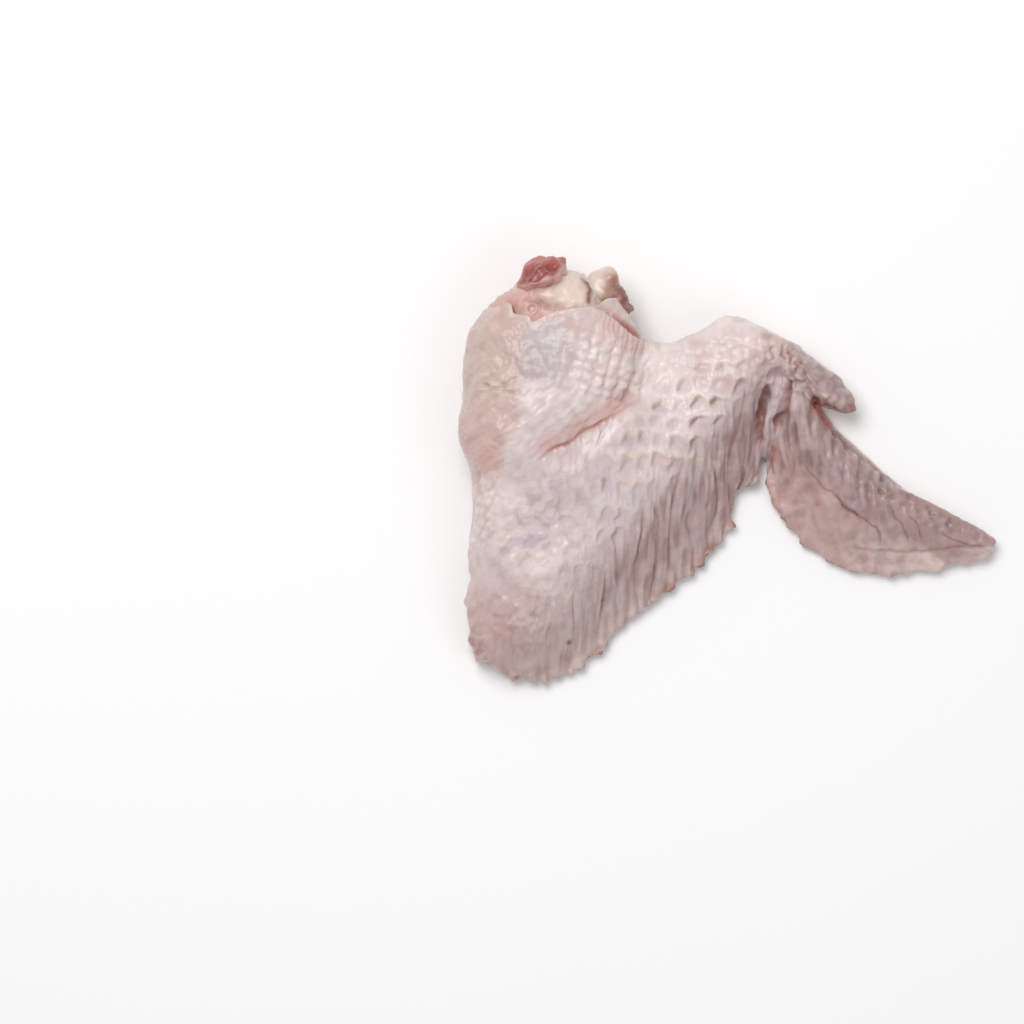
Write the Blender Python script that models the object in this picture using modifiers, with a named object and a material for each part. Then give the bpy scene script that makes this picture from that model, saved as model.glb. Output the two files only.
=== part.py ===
"""A raw chicken wing, whole, laid on its inner face with the feathered side of the skin up.

The upper wing runs down from the shoulder cut at the upper left to the elbow at the lower left. The flat
runs from the elbow to the wrist at the upper right, with a thin flap of skin along its trailing edge. The
hand hangs from the wrist to its pointed tip, and the thumb lies over its root. A web of skin fills the
angle between the upper wing and the flat. At the shoulder cut the meat, a cut red muscle and the head of
the humerus stand out of the skin, and run through the upper wing under it.

Plan positions are in millimetres, x to the right and y up the page, and heights are above the surface
that the wing lies on. Everything is scaled to metres when its mesh is made.
"""

import math
from collections import namedtuple

import bmesh
import bpy
import numpy as np

MM = 0.001

# Driving sizes, in millimetres
WING_LENGTH = 127.4
SKIN_THICKNESS = 2.2
PIECE_GAP = 0.39
BONE_RADIUS = 3.3
REST_SPOT = (-34.0, -20.0)
REST_SPOT_RADIUS = 4.5
PRESSED_DEPTH = 0.05
MEAT_LIFT = 0.65

# How finely the pieces are made
SKIN_VOXEL = 0.7
MEAT_VOXEL = 0.8
RED_VOXEL = 0.6
BONE_VOXEL = 0.6
SKIN_TRIANGLES = 9600
MEAT_TRIANGLES = 1000
RED_TRIANGLES = 320
BONE_TRIANGLES = 400
RING_POINTS = 56
STEPS_BETWEEN_STATIONS = 10
SKIN_SMOOTHING = 7

# Relief depths of the skin, in millimetres
CUP_DEPTH = 0.75
RIB_DEPTH = 1.15
PEARL_HEIGHT = 0.55
CREASE_DEPTH = 1.5
TOOTH_LENGTH = 1.6

# Places on the skin, in plan
FOLD_LINE = [(-20.5, 17.0), (-28.0, 12.5), (-36.0, 7.5), (-47.0, 1.5)]
UPPER_WING_EDGE = [(-13.0, 40.0), (-18.0, 24.0), (-20.5, 17.0), (-28.0, 12.5), (-36.0, 7.5), (-47.0, 1.5),
                   (-56.0, -6.0), (-68.0, -12.0)]
CUPS_END = [(-44.0, -44.0), (-36.0, -30.0), (-28.0, -19.5), (-18.0, -7.0), (-9.0, 2.5), (1.0, 15.0),
            (8.0, 26.0)]
FLAT_LEADING = [(-56.0, -46.0), (-47.0, -30.0), (-40.0, -16.0), (-33.0, 0.0), (-22.0, 13.0), (-12.0, 24.0),
                (-2.0, 33.0)]
WRIST_LINE = [(15.5, 40.0), (12.8, 20.0), (11.6, 10.0), (9.9, 2.0), (9.0, -8.0)]
WRIST_FOLDS = [[(9.2, 23.0), (9.0, 15.0), (7.2, 7.0)], [(12.8, 20.5), (12.4, 15.0), (11.0, 9.0)]]
FAT_PAD_EDGE = [(-48.0, 34.0), (-47.0, 26.0), (-50.0, 18.5), (-48.8, 13.0), (-53.0, 6.0), (-54.5, 1.0),
                (-60.0, -3.0)]
HAND_RIB_END = [(11.0, -2.0), (18.0, 0.5), (24.0, -4.0), (33.0, -13.5), (46.0, -18.0), (58.0, -20.0)]
HAND_LIP = [(27.0, -18.0), (34.5, -19.4), (44.0, -19.4), (54.0, -18.6), (61.0, -18.4)]

Station = namedtuple("Station", "lead ridge trail top bottom edge")
Flank = namedtuple("Flank", "over_power over_root under_power under_root thickness")

ROUND = Flank(2.0, 0.5, 2.0, 0.5, 0.0)
PLUMP = Flank(2.5, 0.5, 2.0, 0.5, 0.0)
FLAP = Flank(1.7, 1.5, 2.2, 0.8, 1.5)
THIN = Flank(1.5, 1.3, 2.2, 0.8, 1.1)
SHEET = Flank(2.0, 0.8, 2.5, 0.5, 1.6)

# Each station: leading edge, ridge and trailing edge in plan, then the heights of the ridge,
# of the underside and of the two edges.
UPPER_WING = [
    Station((-54.5, 41.5), (-39.5, 43.5), (-26.5, 41.0), 20.5, 0.5, (10.0, 10.0)),
    Station((-59.6, 35.5), (-39.5, 36.5), (-22.5, 34.0), 23.0, -0.2, (10.5, 12.5)),
    Station((-62.2, 28.0), (-40.0, 28.5), (-20.5, 28.0), 25.5, -0.3, (11.0, 13.5)),
    Station((-62.8, 16.5), (-42.5, 16.5), (-24.5, 18.0), 26.3, -0.4, (11.0, 14.5)),
    Station((-63.4, 7.0), (-46.5, 6.0), (-30.5, 7.0), 25.0, -0.4, (11.0, 14.0)),
    Station((-60.6, -1.5), (-48.5, -6.0), (-35.0, -4.5), 22.5, -0.4, (10.0, 13.5)),
    Station((-60.8, -11.5), (-51.5, -17.5), (-39.5, -14.0), 20.0, -0.3, (9.0, 11.0)),
    Station((-60.8, -21.0), (-52.5, -28.0), (-43.0, -23.5), 16.0, 0.2, (8.0, 9.0)),
]
FLAT = [
    Station((-60.4, -43.0), (-56.3, -45.6), (-52.0, -49.2), 8.5, 0.6, (4.0, 2.6)),
    Station((-62.0, -35.5), (-53.0, -40.0), (-43.5, -49.4), 14.5, -0.3, (6.5, 2.4)),
    Station((-61.6, -24.0), (-47.5, -32.0), (-33.4, -45.7), 18.0, -0.4, (8.5, 2.2)),
    Station((-59.8, -14.0), (-41.5, -23.5), (-21.4, -34.0), 19.8, -0.6, (9.0, 2.2)),
    Station((-52.5, -2.0), (-33.0, -13.5), (-9.0, -24.8), 20.0, -0.6, (12.0, 2.2)),
    Station((-39.5, 7.5), (-22.0, -2.0), (-1.2, -16.4), 19.0, -0.4, (13.0, 2.2)),
    Station((-25.5, 16.5), (-11.5, 9.5), (3.0, -6.6), 18.5, -0.3, (12.0, 2.4)),
    Station((-17.5, 22.5), (-6.0, 15.0), (7.0, -4.2), 18.0, -0.2, (10.5, 2.6)),
    Station((-9.5, 29.0), (-1.0, 21.5), (7.6, 1.5), 17.5, -0.2, (9.0, 3.0)),
    Station((2.5, 34.9), (7.0, 28.0), (12.0, 12.0), 16.8, 0.0, (8.5, 4.5)),
    Station((10.5, 32.2), (12.6, 26.5), (16.0, 16.0), 15.2, 0.2, (8.0, 5.0)),
    Station((16.8, 29.0), (17.4, 24.5), (18.4, 17.0), 13.0, 0.4, (8.0, 5.0)),
]
ELBOW_FILL = [
    Station((-42.0, 11.0), (-37.0, 5.0), (-31.0, -1.0), 15.5, 2.0, (10.0, 10.0)),
    Station((-51.0, 3.0), (-44.0, -3.5), (-35.0, -10.5), 20.4, 1.0, (11.0, 12.0)),
    Station((-55.0, -8.0), (-48.0, -15.0), (-39.0, -22.0), 20.6, 1.0, (10.0, 11.0)),
    Station((-57.5, -21.0), (-52.0, -27.0), (-45.0, -33.0), 18.4, 1.0, (9.0, 9.0)),
]
WEB = [
    Station((-27.5, 34.0), (-28.5, 26.0), (-29.5, 13.0), 20.5, 2.0, (13.0, 10.0)),
    Station((-22.8, 31.2), (-23.5, 24.0), (-24.5, 15.0), 17.8, 2.0, (11.5, 9.0)),
    Station((-18.5, 30.2), (-19.0, 24.0), (-19.5, 16.0), 15.6, 2.2, (10.0, 9.0)),
    Station((-12.7, 30.4), (-13.0, 24.5), (-14.0, 17.0), 14.2, 2.2, (9.0, 9.0)),
    Station((-6.3, 33.4), (-7.0, 27.5), (-7.5, 20.0), 14.6, 2.2, (9.0, 8.0)),
    Station((-1.0, 35.9), (-1.0, 30.0), (-1.0, 22.0), 15.4, 2.0, (9.0, 8.0)),
    Station((4.0, 35.3), (4.5, 31.0), (5.0, 24.0), 15.8, 2.0, (9.0, 8.0)),
]
HAND = [
    Station((16.0, 28.0), (13.5, 23.5), (9.5, 14.5), 13.8, 0.2, (7.5, 4.5)),
    Station((20.0, 15.5), (17.0, 12.5), (9.2, 4.5), 12.8, -0.3, (7.0, 2.4)),
    Station((23.8, 8.8), (20.3, 5.0), (9.2, -4.2), 11.5, -0.4, (6.5, 2.0)),
    Station((28.8, 3.2), (25.0, -0.7), (12.9, -11.3), 10.2, -0.4, (6.0, 1.9)),
    Station((34.2, -1.0), (30.2, -5.5), (18.1, -17.6), 9.2, -0.4, (5.2, 1.9)),
    Station((42.2, -5.1), (37.6, -10.0), (25.6, -22.8), 8.2, -0.3, (4.6, 1.9)),
    Station((49.2, -8.7), (44.8, -12.8), (35.0, -25.0), 7.2, -0.2, (4.0, 2.0)),
    Station((55.5, -11.8), (52.0, -15.4), (45.0, -24.4), 6.2, -0.1, (3.5, 2.2)),
    Station((60.6, -14.0), (58.2, -17.2), (54.0, -22.4), 5.3, 0.1, (3.0, 2.4)),
    Station((63.8, -16.4), (62.8, -18.4), (61.6, -21.8), 4.4, 0.6, (2.6, 2.4)),
]
UNDER_LAYER = [
    Station((19.0, 21.5), (18.0, 19.5), (16.5, 16.5), 7.0, 0.6, (3.6, 3.6)),
    Station((24.0, 12.0), (22.0, 9.5), (20.0, 7.0), 5.6, 0.3, (3.0, 3.0)),
    Station((29.0, 6.4), (27.0, 3.5), (25.0, 1.0), 5.2, 0.3, (2.8, 2.8)),
    Station((35.0, 1.0), (33.2, -1.5), (31.5, -4.0), 4.8, 0.3, (2.6, 2.6)),
    Station((41.6, -4.2), (40.2, -6.0), (39.0, -8.0), 4.4, 0.4, (2.4, 2.4)),
]
THUMB = [
    Station((12.5, 31.0), (13.0, 24.5), (13.8, 18.5), 15.0, 3.0, (9.0, 8.0)),
    Station((18.6, 27.0), (19.0, 22.0), (19.6, 16.8), 13.4, 3.6, (8.6, 7.8)),
    Station((23.4, 22.6), (23.1, 18.6), (22.6, 14.4), 11.8, 4.4, (8.2, 7.6)),
    Station((26.8, 19.2), (26.2, 16.6), (25.7, 13.8), 10.2, 4.8, (7.6, 7.2)),
    Station((29.4, 16.2), (28.8, 14.8), (28.6, 13.2), 8.4, 5.2, (7.0, 6.8)),
]
CUT_EDGE_ROLL = [
    Station((-31.5, 41.0), (-31.0, 39.5), (-30.5, 38.0), 17.5, 9.0, (14.0, 14.0)),
    Station((-28.0, 39.8), (-28.5, 38.0), (-29.0, 36.0), 17.0, 8.0, (13.0, 13.0)),
    Station((-24.6, 36.0), (-25.6, 34.5), (-26.6, 33.0), 15.5, 7.0, (11.5, 11.5)),
    Station((-21.6, 32.4), (-22.6, 31.4), (-23.6, 30.0), 13.5, 6.0, (10.0, 10.0)),
]
MEAT_CUT_END = [
    Station((-46.0, 47.0), (-40.0, 47.0), (-34.3, 46.6), 13.0, 5.0, (9.0, 9.0)),
    Station((-49.6, 44.0), (-40.0, 44.8), (-31.8, 43.6), 18.5, 2.2, (9.5, 9.5)),
    Station((-54.8, 40.0), (-40.0, 40.5), (-29.0, 40.0), 21.5, 1.6, (10.0, 10.0)),
]
MEAT_ELBOW_END = Station((-54.5, -8.0), (-49.5, -11.0), (-43.5, -9.5), 14.5, 4.0, (9.5, 9.0))
RED_MUSCLE = [
    Station((-46.4, 49.6), (-42.4, 50.0), (-38.4, 49.6), 16.5, 11.0, (13.5, 13.5)),
    Station((-48.8, 46.8), (-43.4, 47.2), (-38.2, 46.8), 21.0, 9.0, (14.5, 14.5)),
    Station((-49.8, 43.0), (-44.6, 43.6), (-39.0, 43.8), 23.0, 8.6, (15.0, 15.0)),
    Station((-48.6, 39.0), (-44.6, 39.5), (-41.0, 39.5), 19.0, 9.0, (14.0, 14.0)),
    Station((-47.4, 31.0), (-44.6, 31.0), (-42.0, 31.0), 17.5, 10.0, (14.0, 14.0)),
    Station((-46.4, 22.0), (-44.6, 22.0), (-43.0, 22.0), 16.0, 12.0, (14.0, 14.0)),
]
BONE_LINE = [
    (-29.6, 42.4, 11.5), (-31.0, 37.5, 11.5), (-33.5, 29.0, 11.5), (-38.5, 16.0, 11.5), (-44.0, 5.0, 11.0),
    (-48.5, -5.0, 10.0),
]
BONE_KNOBS = [((-29.9, 43.0, 12.5), 4.0), ((-27.4, 38.8, 10.0), 4.0), ((-31.2, 41.0, 8.5), 3.6)]

# Where the skin ends at the shoulder cut, in plan, from the leading to the trailing side
SKIN_BORDER = [
    (-70.0, 37.6), (-56.6, 37.8), (-51.8, 38.8), (-50.8, 36.4), (-47.6, 35.8), (-46.2, 34.4),
    (-42.2, 36.4), (-37.2, 37.4), (-31.2, 38.0), (-28.8, 41.0), (-22.0, 44.0), (-10.0, 44.0),
]

COLOURS = {
    "skin": ((0.68, 0.52, 0.49), 0.42),
    "meat": ((0.62, 0.38, 0.34), 0.38),
    "red_muscle": ((0.42, 0.10, 0.09), 0.35),
    "humerus": ((0.76, 0.66, 0.56), 0.30),
}


def clear_scene():
    for old in list(bpy.data.objects):
        bpy.data.objects.remove(old, do_unlink=True)


def new_collection(name):
    made = bpy.data.collections.new(name)
    bpy.context.scene.collection.children.link(made)
    return made


def smooth_step(low, high, value):
    part = np.clip((value - low) / (high - low), 0.0, 1.0)
    return part * part * (3.0 - 2.0 * part)


def wave_noise(points, size, seed, waves=9):
    """Smooth uneven values from about -1 to 1, from a few plane waves in seeded directions."""
    draw = np.random.default_rng(seed)
    total = np.zeros(len(points))
    for _ in range(waves):
        direction = draw.normal(size=points.shape[1])
        direction *= draw.uniform(0.6, 1.5) * 2.0 * math.pi / (size * np.linalg.norm(direction))
        total += np.sin(points @ direction + draw.uniform(0.0, 2.0 * math.pi))
    return total / math.sqrt(waves * 1.2)


def catmull_rom(rows, steps):
    """A smooth curve through rows of numbers, with the given steps between two rows."""
    rows = np.asarray(rows, dtype=float)
    padded = np.vstack([2 * rows[0] - rows[1], rows, 2 * rows[-1] - rows[-2]])
    out = []
    for index in range(len(rows) - 1):
        before, start, end, after = padded[index:index + 4]
        for step in range(steps):
            t = step / steps
            out.append(0.5 * (2 * start + (end - before) * t
                              + (2 * before - 5 * start + 4 * end - after) * t * t
                              + (3 * start - before - 3 * end + after) * t ** 3))
    out.append(rows[-1])
    return np.array(out)


def toothed(length):
    """How far the trailing edge stands out in small uneven teeth, from 0 to 1."""
    warped = length + 1.1 * np.sin(length * 0.41 + 0.6) + 0.7 * np.sin(length * 0.93)
    tooth = np.abs(np.sin(math.pi * warped / 4.9)) ** 0.7
    return tooth * (0.62 + 0.38 * np.sin(length * 0.57 + 1.0))


def inset(station, distance):
    """The station drawn in all round, as the meat lies under the skin."""
    lead, ridge, trail = (np.array(place) for place in (station.lead, station.ridge, station.trail))
    lead += (ridge - lead) * distance / np.linalg.norm(ridge - lead)
    trail += (ridge - trail) * distance / np.linalg.norm(ridge - trail)
    return Station(tuple(lead), tuple(ridge), tuple(trail), station.top - distance,
                   max(station.bottom, 0.0) + MEAT_LIFT * distance, station.edge)


def limb_rings(stations, lead, trail, teeth=0.0):
    """Rings of points round a limb: over it from the leading to the trailing edge, and back under it."""
    rows = [[*s.lead, *s.ridge, *s.trail, s.top, s.bottom, *s.edge] for s in stations]
    fine = catmull_rom(rows, STEPS_BETWEEN_STATIONS)
    angle = np.arange(RING_POINTS) * 2.0 * math.pi / RING_POINTS
    across = np.cos(angle)
    reach = np.abs(across)
    over = np.sin(angle) >= 0.0
    run = np.concatenate([[0.0], np.cumsum(np.linalg.norm(np.diff(fine[:, 4:6], axis=0), axis=1))])
    rings = []
    for row, length in zip(fine, run):
        ridge = row[2:4]
        top, bottom, lead_z, trail_z = row[6:10]
        ring = np.zeros((RING_POINTS, 3))
        for index in range(RING_POINTS):
            leading = across[index] >= 0.0
            flank = lead if leading else trail
            side = row[0:2] if leading else row[4:6]
            edge_z = lead_z if leading else trail_z
            part = reach[index]
            out = part
            if teeth and not leading:
                out = part * (1.0 + (toothed(length) - 0.5) * teeth * part ** 5
                              / np.linalg.norm(side - ridge))
            ring[index, :2] = ridge + (side - ridge) * out
            rest = 1.0 - part ** flank.over_power
            rise = (top - edge_z) * max(rest, 0.0) ** flank.over_root
            rise = max(rise, flank.thickness * max(1.0 - part ** 8, 0.0) ** 0.5)
            fall = (edge_z - bottom) * max(1.0 - part ** flank.under_power, 0.0) ** flank.under_root
            ring[index, 2] = edge_z + rise if over[index] else edge_z - fall
        rings.append(ring)
    return rings


def mesh_object(name, verts, faces, collection):
    mesh = bpy.data.meshes.new(name)
    mesh.from_pydata([tuple(v) for v in np.asarray(verts) * MM], [], faces)
    work = bmesh.new()
    work.from_mesh(mesh)
    bmesh.ops.recalc_face_normals(work, faces=work.faces)
    work.to_mesh(mesh)
    work.free()
    made = bpy.data.objects.new(name, mesh)
    collection.objects.link(made)
    return made


def limb_object(name, collection, stations, lead, trail, teeth=0.0):
    """A closed loft through a limb's stations."""
    rings = limb_rings(stations, lead, trail, teeth)
    verts = np.vstack(rings)
    faces = []
    for row in range(len(rings) - 1):
        for column in range(RING_POINTS):
            beside = (column + 1) % RING_POINTS
            faces.append((row * RING_POINTS + column, row * RING_POINTS + beside,
                          (row + 1) * RING_POINTS + beside, (row + 1) * RING_POINTS + column))
    faces.append(tuple(reversed(range(RING_POINTS))))
    last = (len(rings) - 1) * RING_POINTS
    faces.append(tuple(last + column for column in range(RING_POINTS)))
    return mesh_object(name, verts, faces, collection)


def ball_object(name, collection, centre, radius):
    bpy.ops.mesh.primitive_uv_sphere_add(segments=32, ring_count=20, radius=radius * MM,
                                         location=[c * MM for c in centre])
    ball = bpy.context.object
    ball.name = name
    bpy.ops.object.transform_apply(location=True, rotation=False, scale=False)
    for home in list(ball.users_collection):
        home.objects.unlink(ball)
    collection.objects.link(ball)
    return ball


def apply_modifiers(target):
    """Replaces an object's mesh by its evaluated mesh."""
    graph = bpy.context.evaluated_depsgraph_get()
    mesh = bpy.data.meshes.new_from_object(target.evaluated_get(graph))
    target.modifiers.clear()
    target.data = mesh


def join_and_remesh(pieces, name, voxel, smoothing):
    """Fuses overlapping closed pieces into one body of even small faces, and softens its joins."""
    bpy.ops.object.select_all(action="DESELECT")
    for piece in pieces:
        piece.select_set(True)
    bpy.context.view_layer.objects.active = pieces[0]
    bpy.ops.object.join()
    body = bpy.context.object
    body.name = name
    remesh = body.modifiers.new("fuse", "REMESH")
    remesh.mode = "VOXEL"
    remesh.voxel_size = voxel * MM
    soften = body.modifiers.new("soften", "SMOOTH")
    soften.factor = 0.5
    soften.iterations = smoothing
    apply_modifiers(body)
    return body


def read_points(target):
    flat = np.empty(len(target.data.vertices) * 3, dtype=np.float32)
    target.data.vertices.foreach_get("co", flat)
    return flat.reshape(-1, 3).astype(float) / MM


def read_normals(target):
    flat = np.empty(len(target.data.vertices) * 3, dtype=np.float32)
    target.data.vertices.foreach_get("normal", flat)
    return flat.reshape(-1, 3).astype(float)


def write_points(target, points):
    target.data.vertices.foreach_set("co", (points * MM).astype(np.float32).ravel())
    target.data.update()


def reduce_to(target, triangles):
    """Thins a mesh to about the given number of triangles."""
    split = target.modifiers.new("split", "TRIANGULATE")
    split.min_vertices = 4
    apply_modifiers(target)
    thin = target.modifiers.new("thin", "DECIMATE")
    thin.ratio = min(1.0, triangles / len(target.data.polygons))
    apply_modifiers(target)


def cut(target, cutter, solver="EXACT"):
    taken = target.modifiers.new("cut", "BOOLEAN")
    taken.operation = "DIFFERENCE"
    taken.solver = solver
    taken.object = cutter
    apply_modifiers(target)


def grown_copy(source, name, collection, distance):
    """A cutter: the source pushed out along its normals, so that the cut keeps its gap to the source."""
    made = source.copy()
    made.data = source.data.copy()
    made.name = name
    collection.objects.link(made)
    write_points(made, read_points(made) + read_normals(made) * distance)
    made.hide_render = True
    made.display_type = "WIRE"
    return made


def keep_largest_body(target):
    """Drops loose scraps that a cut leaves."""
    work = bmesh.new()
    work.from_mesh(target.data)
    work.verts.ensure_lookup_table()
    unseen = set(work.verts)
    bodies = []
    while unseen:
        stack = [unseen.pop()]
        body = set(stack)
        while stack:
            for edge in stack.pop().link_edges:
                for vert in edge.verts:
                    if vert in unseen:
                        unseen.discard(vert)
                        body.add(vert)
                        stack.append(vert)
        bodies.append(body)
    bodies.sort(key=len)
    for body in bodies[:-1]:
        bmesh.ops.delete(work, geom=list(body), context="VERTS")
    work.to_mesh(target.data)
    work.free()


def clean_up(target):
    """Splits every face into triangles and drops the slivers that a cut leaves."""
    work = bmesh.new()
    work.from_mesh(target.data)
    bmesh.ops.dissolve_degenerate(work, edges=work.edges, dist=0.002 * MM)
    bmesh.ops.triangulate(work, faces=work.faces)
    bmesh.ops.recalc_face_normals(work, faces=work.faces)
    work.to_mesh(target.data)
    work.free()


def line_distance(plan, line):
    """The distance of each point to a line of points in plan, and how far along it the nearest place is."""
    line = np.asarray(line, dtype=float)
    best = np.full(len(plan), 1e9)
    along = np.zeros(len(plan))
    total = np.linalg.norm(np.diff(line, axis=0), axis=1).sum()
    done = 0.0
    for start, end in zip(line[:-1], line[1:]):
        run = end - start
        length = np.linalg.norm(run)
        t = np.clip(((plan - start) @ run) / length ** 2, 0.0, 1.0)
        gap = np.linalg.norm(plan - (start + t[:, None] * run), axis=1)
        nearer = gap < best
        best = np.where(nearer, gap, best)
        along = np.where(nearer, (done + t * length) / total, along)
        done += length
    return best, along


def cell_pattern(a, b, seed, jitter=0.22):
    """Distance to the nearest of the jittered centres of unit cells, and the offset from it."""
    cell_a = np.floor(a)
    cell_b = np.floor(b)
    best = np.full(len(a), 9.0)
    off_a = np.zeros(len(a))
    off_b = np.zeros(len(a))
    for step_a in (-1, 0, 1):
        for step_b in (-1, 0, 1):
            ia = cell_a + step_a
            ib = cell_b + step_b
            wobble = np.sin(ia * 12.9898 + ib * 78.233 + seed) * 43758.5453
            turn = np.sin(ia * 39.346 + ib * 11.135 + seed) * 24634.6345
            da = a - (ia + 0.5 + jitter * (2.0 * (wobble - np.floor(wobble)) - 1.0))
            db = b - (ib + 0.5 + jitter * (2.0 * (turn - np.floor(turn)) - 1.0))
            gap = np.hypot(da, db)
            nearer = gap < best
            best = np.where(nearer, gap, best)
            off_a = np.where(nearer, da, off_a)
            off_b = np.where(nearer, db, off_b)
    return best, off_a, off_b


def beyond(plan, line, soft):
    """From 0 on the left of a line to 1 on its right, as it runs, with a soft step between."""
    line = np.asarray(line, dtype=float)
    best = np.full(len(plan), 1e9)
    signed = np.zeros(len(plan))
    for start, end in zip(line[:-1], line[1:]):
        run = end - start
        t = np.clip(((plan - start) @ run) / (run @ run), 0.0, 1.0)
        off = plan - (start + t[:, None] * run)
        gap = np.hypot(off[:, 0], off[:, 1])
        turn = off[:, 0] * run[1] - off[:, 1] * run[0]
        nearer = gap < best - 1e-9
        best = np.where(nearer, gap, best)
        signed = np.where(nearer, np.where(turn >= 0.0, gap, -gap), signed)
    return smooth_step(-soft, soft, signed)


def groove(plan, line, width):
    """A soft groove of unit depth along a line, fading out at its two ends."""
    gap, along = line_distance(plan, line)
    return np.exp(-(gap / width) ** 2) * smooth_step(-0.02, 0.15, along) * smooth_step(1.02, 0.85, along)


def skin_relief(points, normals):
    """How far each point of the skin is pushed out, in millimetres: cups, ribs, pearls and folds."""
    plan = points[:, :2]
    x, y, z = points.T
    facing_up = smooth_step(0.0, 0.35, normals[:, 2])
    uneven = 1.0 + 0.35 * wave_noise(plan, 14.0, 3)

    past_wrist = beyond(plan, WRIST_LINE[::-1], 0.6)
    upper_wing = beyond(plan, UPPER_WING_EDGE, 0.8)
    on_flat = beyond(plan, FLAT_LEADING, 4.0) * (1.0 - past_wrist) * (1.0 - upper_wing)
    flap = beyond(plan, CUPS_END, 4.0)
    web = (1.0 - on_flat) * (1.0 - upper_wing) * (1.0 - past_wrist) * smooth_step(-4.0, 8.0, y)

    # The flat's cups stand in columns and rows, which grow towards the wrist and the trailing edge.
    lean = 0.04 + 0.26 * smooth_step(-6.0, 12.0, x)
    spread = 3.5 + 0.057 * (x + 30.0)
    sway = lean * (16.0 - y) + 0.6 * wave_noise(plan, 17.0, 5)
    column = np.log(np.maximum(spread, 1.5)) / 0.057 + sway / 4.4
    drop = np.maximum(3.3 + 0.079 * (28.0 - y), 2.0)
    row = -np.log(drop) / 0.079 + 0.12 * wave_noise(plan, 15.0, 6)
    _, off_a, off_b = cell_pattern(column, row, 1.7, jitter=0.14)
    cup = -np.clip(1.0 - (off_a / 0.45) ** 2 - (off_b / 0.5) ** 2, 0.0, 1.0) * (0.8 + 1.1 * off_b)
    rib = np.abs(np.cos(math.pi * column)) ** 0.5 - 0.75
    rib_strength = (0.35 + 0.65 * smooth_step(-46.0, -20.0, y)) * smooth_step(-50.0, -40.0, x)
    rows_and_ribs = (1.0 - flap) * CUP_DEPTH * cup + flap * RIB_DEPTH * rib * rib_strength
    relief = on_flat * facing_up * uneven * rows_and_ribs

    # Pearls in slanting rows over the upper wing, and smaller ones over the web
    gap, _, _ = cell_pattern((x + 0.45 * y) / 3.1, (y - 0.45 * x) / 3.5, 4.1, jitter=0.15)
    pearl = np.clip(1.0 - (gap / 0.5) ** 2, 0.0, 1.0) - 0.35
    pearled = upper_wing * smooth_step(-46.0, -38.0, x) * smooth_step(36.5, 33.0, y)
    relief += pearled * facing_up * PEARL_HEIGHT * uneven * pearl
    gap, _, _ = cell_pattern((x + 0.2 * y) / 3.6, (y - 0.1 * x) / 3.4, 7.3, jitter=0.2)
    relief += web * facing_up * 0.6 * PEARL_HEIGHT * (np.clip(1.0 - (gap / 0.55) ** 2, 0.0, 1.0) - 0.4)

    # The fat pad on the leading side of the upper wing stands a little proud
    fat_pad = upper_wing * beyond(plan, FAT_PAD_EDGE, 0.7)
    relief += fat_pad * facing_up * (0.4 + 0.35 * wave_noise(plan, 5.0, 12))

    # The fold between the upper wing and the flat
    relief -= facing_up * CREASE_DEPTH * groove(plan, FOLD_LINE, 0.9)

    # Ribs fan over the hand, down to its smooth web and the lip along its edge
    on_hand = past_wrist * smooth_step(17.5, 13.5, y)
    ribbed = 1.0 - beyond(plan, HAND_RIB_END, 2.0)
    fan = np.cos(2.0 * math.pi * (x + 0.16 * y + 0.5 * wave_noise(plan, 9.0, 15)) / 2.95)
    relief += on_hand * ribbed * facing_up * 0.35 * uneven * fan
    relief -= facing_up * 0.6 * groove(plan, HAND_LIP, 0.8)

    # Folds round the wrist
    for fold in WRIST_FOLDS:
        relief -= facing_up * 1.1 * groove(plan, fold, 0.8)

    # Soft lumps all over, and low follicle bumps underneath
    relief += 0.3 * wave_noise(points, 11.0, 8)
    gap, _, _ = cell_pattern((x + 0.4 * y) / 4.6, (y - 0.4 * x) / 4.2, 2.9)
    relief += smooth_step(0.1, -0.4, normals[:, 2]) * 0.75 * (0.55 - gap)

    # One spot of the underside stays smooth and is pressed flat
    from_spot = np.hypot(x - REST_SPOT[0], y - REST_SPOT[1])
    round_spot = smooth_step(REST_SPOT_RADIUS, 2.0 * REST_SPOT_RADIUS, from_spot)
    return np.where(z < 3.0, relief * round_spot, relief)


def press_flat(points, near):
    """Moves the points under the surface that the wing lies on, or nearly on it, up or down to it."""
    pressed = points.copy()
    pressed[:, 2] = np.where(points[:, 2] < near, 0.0, points[:, 2])
    return pressed


def make_skin_form(collection):
    """The whole outer form of the wing, with its relief, before the cuts."""
    limbs = [
        limb_object("upper_wing", collection, UPPER_WING, PLUMP, PLUMP),
        limb_object("elbow_fill", collection, ELBOW_FILL, ROUND, ROUND),
        limb_object("flat", collection, FLAT, ROUND, FLAP, teeth=TOOTH_LENGTH),
        limb_object("web", collection, WEB, SHEET, ROUND),
        limb_object("hand", collection, HAND, ROUND, THIN, teeth=0.6 * TOOTH_LENGTH),
        limb_object("under_layer", collection, UNDER_LAYER, ROUND, ROUND),
        limb_object("thumb", collection, THUMB, ROUND, ROUND),
        limb_object("cut_edge_roll", collection, CUT_EDGE_ROLL, ROUND, ROUND),
    ]
    body = join_and_remesh(limbs, "skin", SKIN_VOXEL, SKIN_SMOOTHING)
    points = read_points(body)
    normals = read_normals(body)
    points += normals * skin_relief(points, normals)[:, None]
    write_points(body, press_flat(points, 0.0))
    reduce_to(body, SKIN_TRIANGLES)
    write_points(body, press_flat(read_points(body), PRESSED_DEPTH))
    return body


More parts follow.
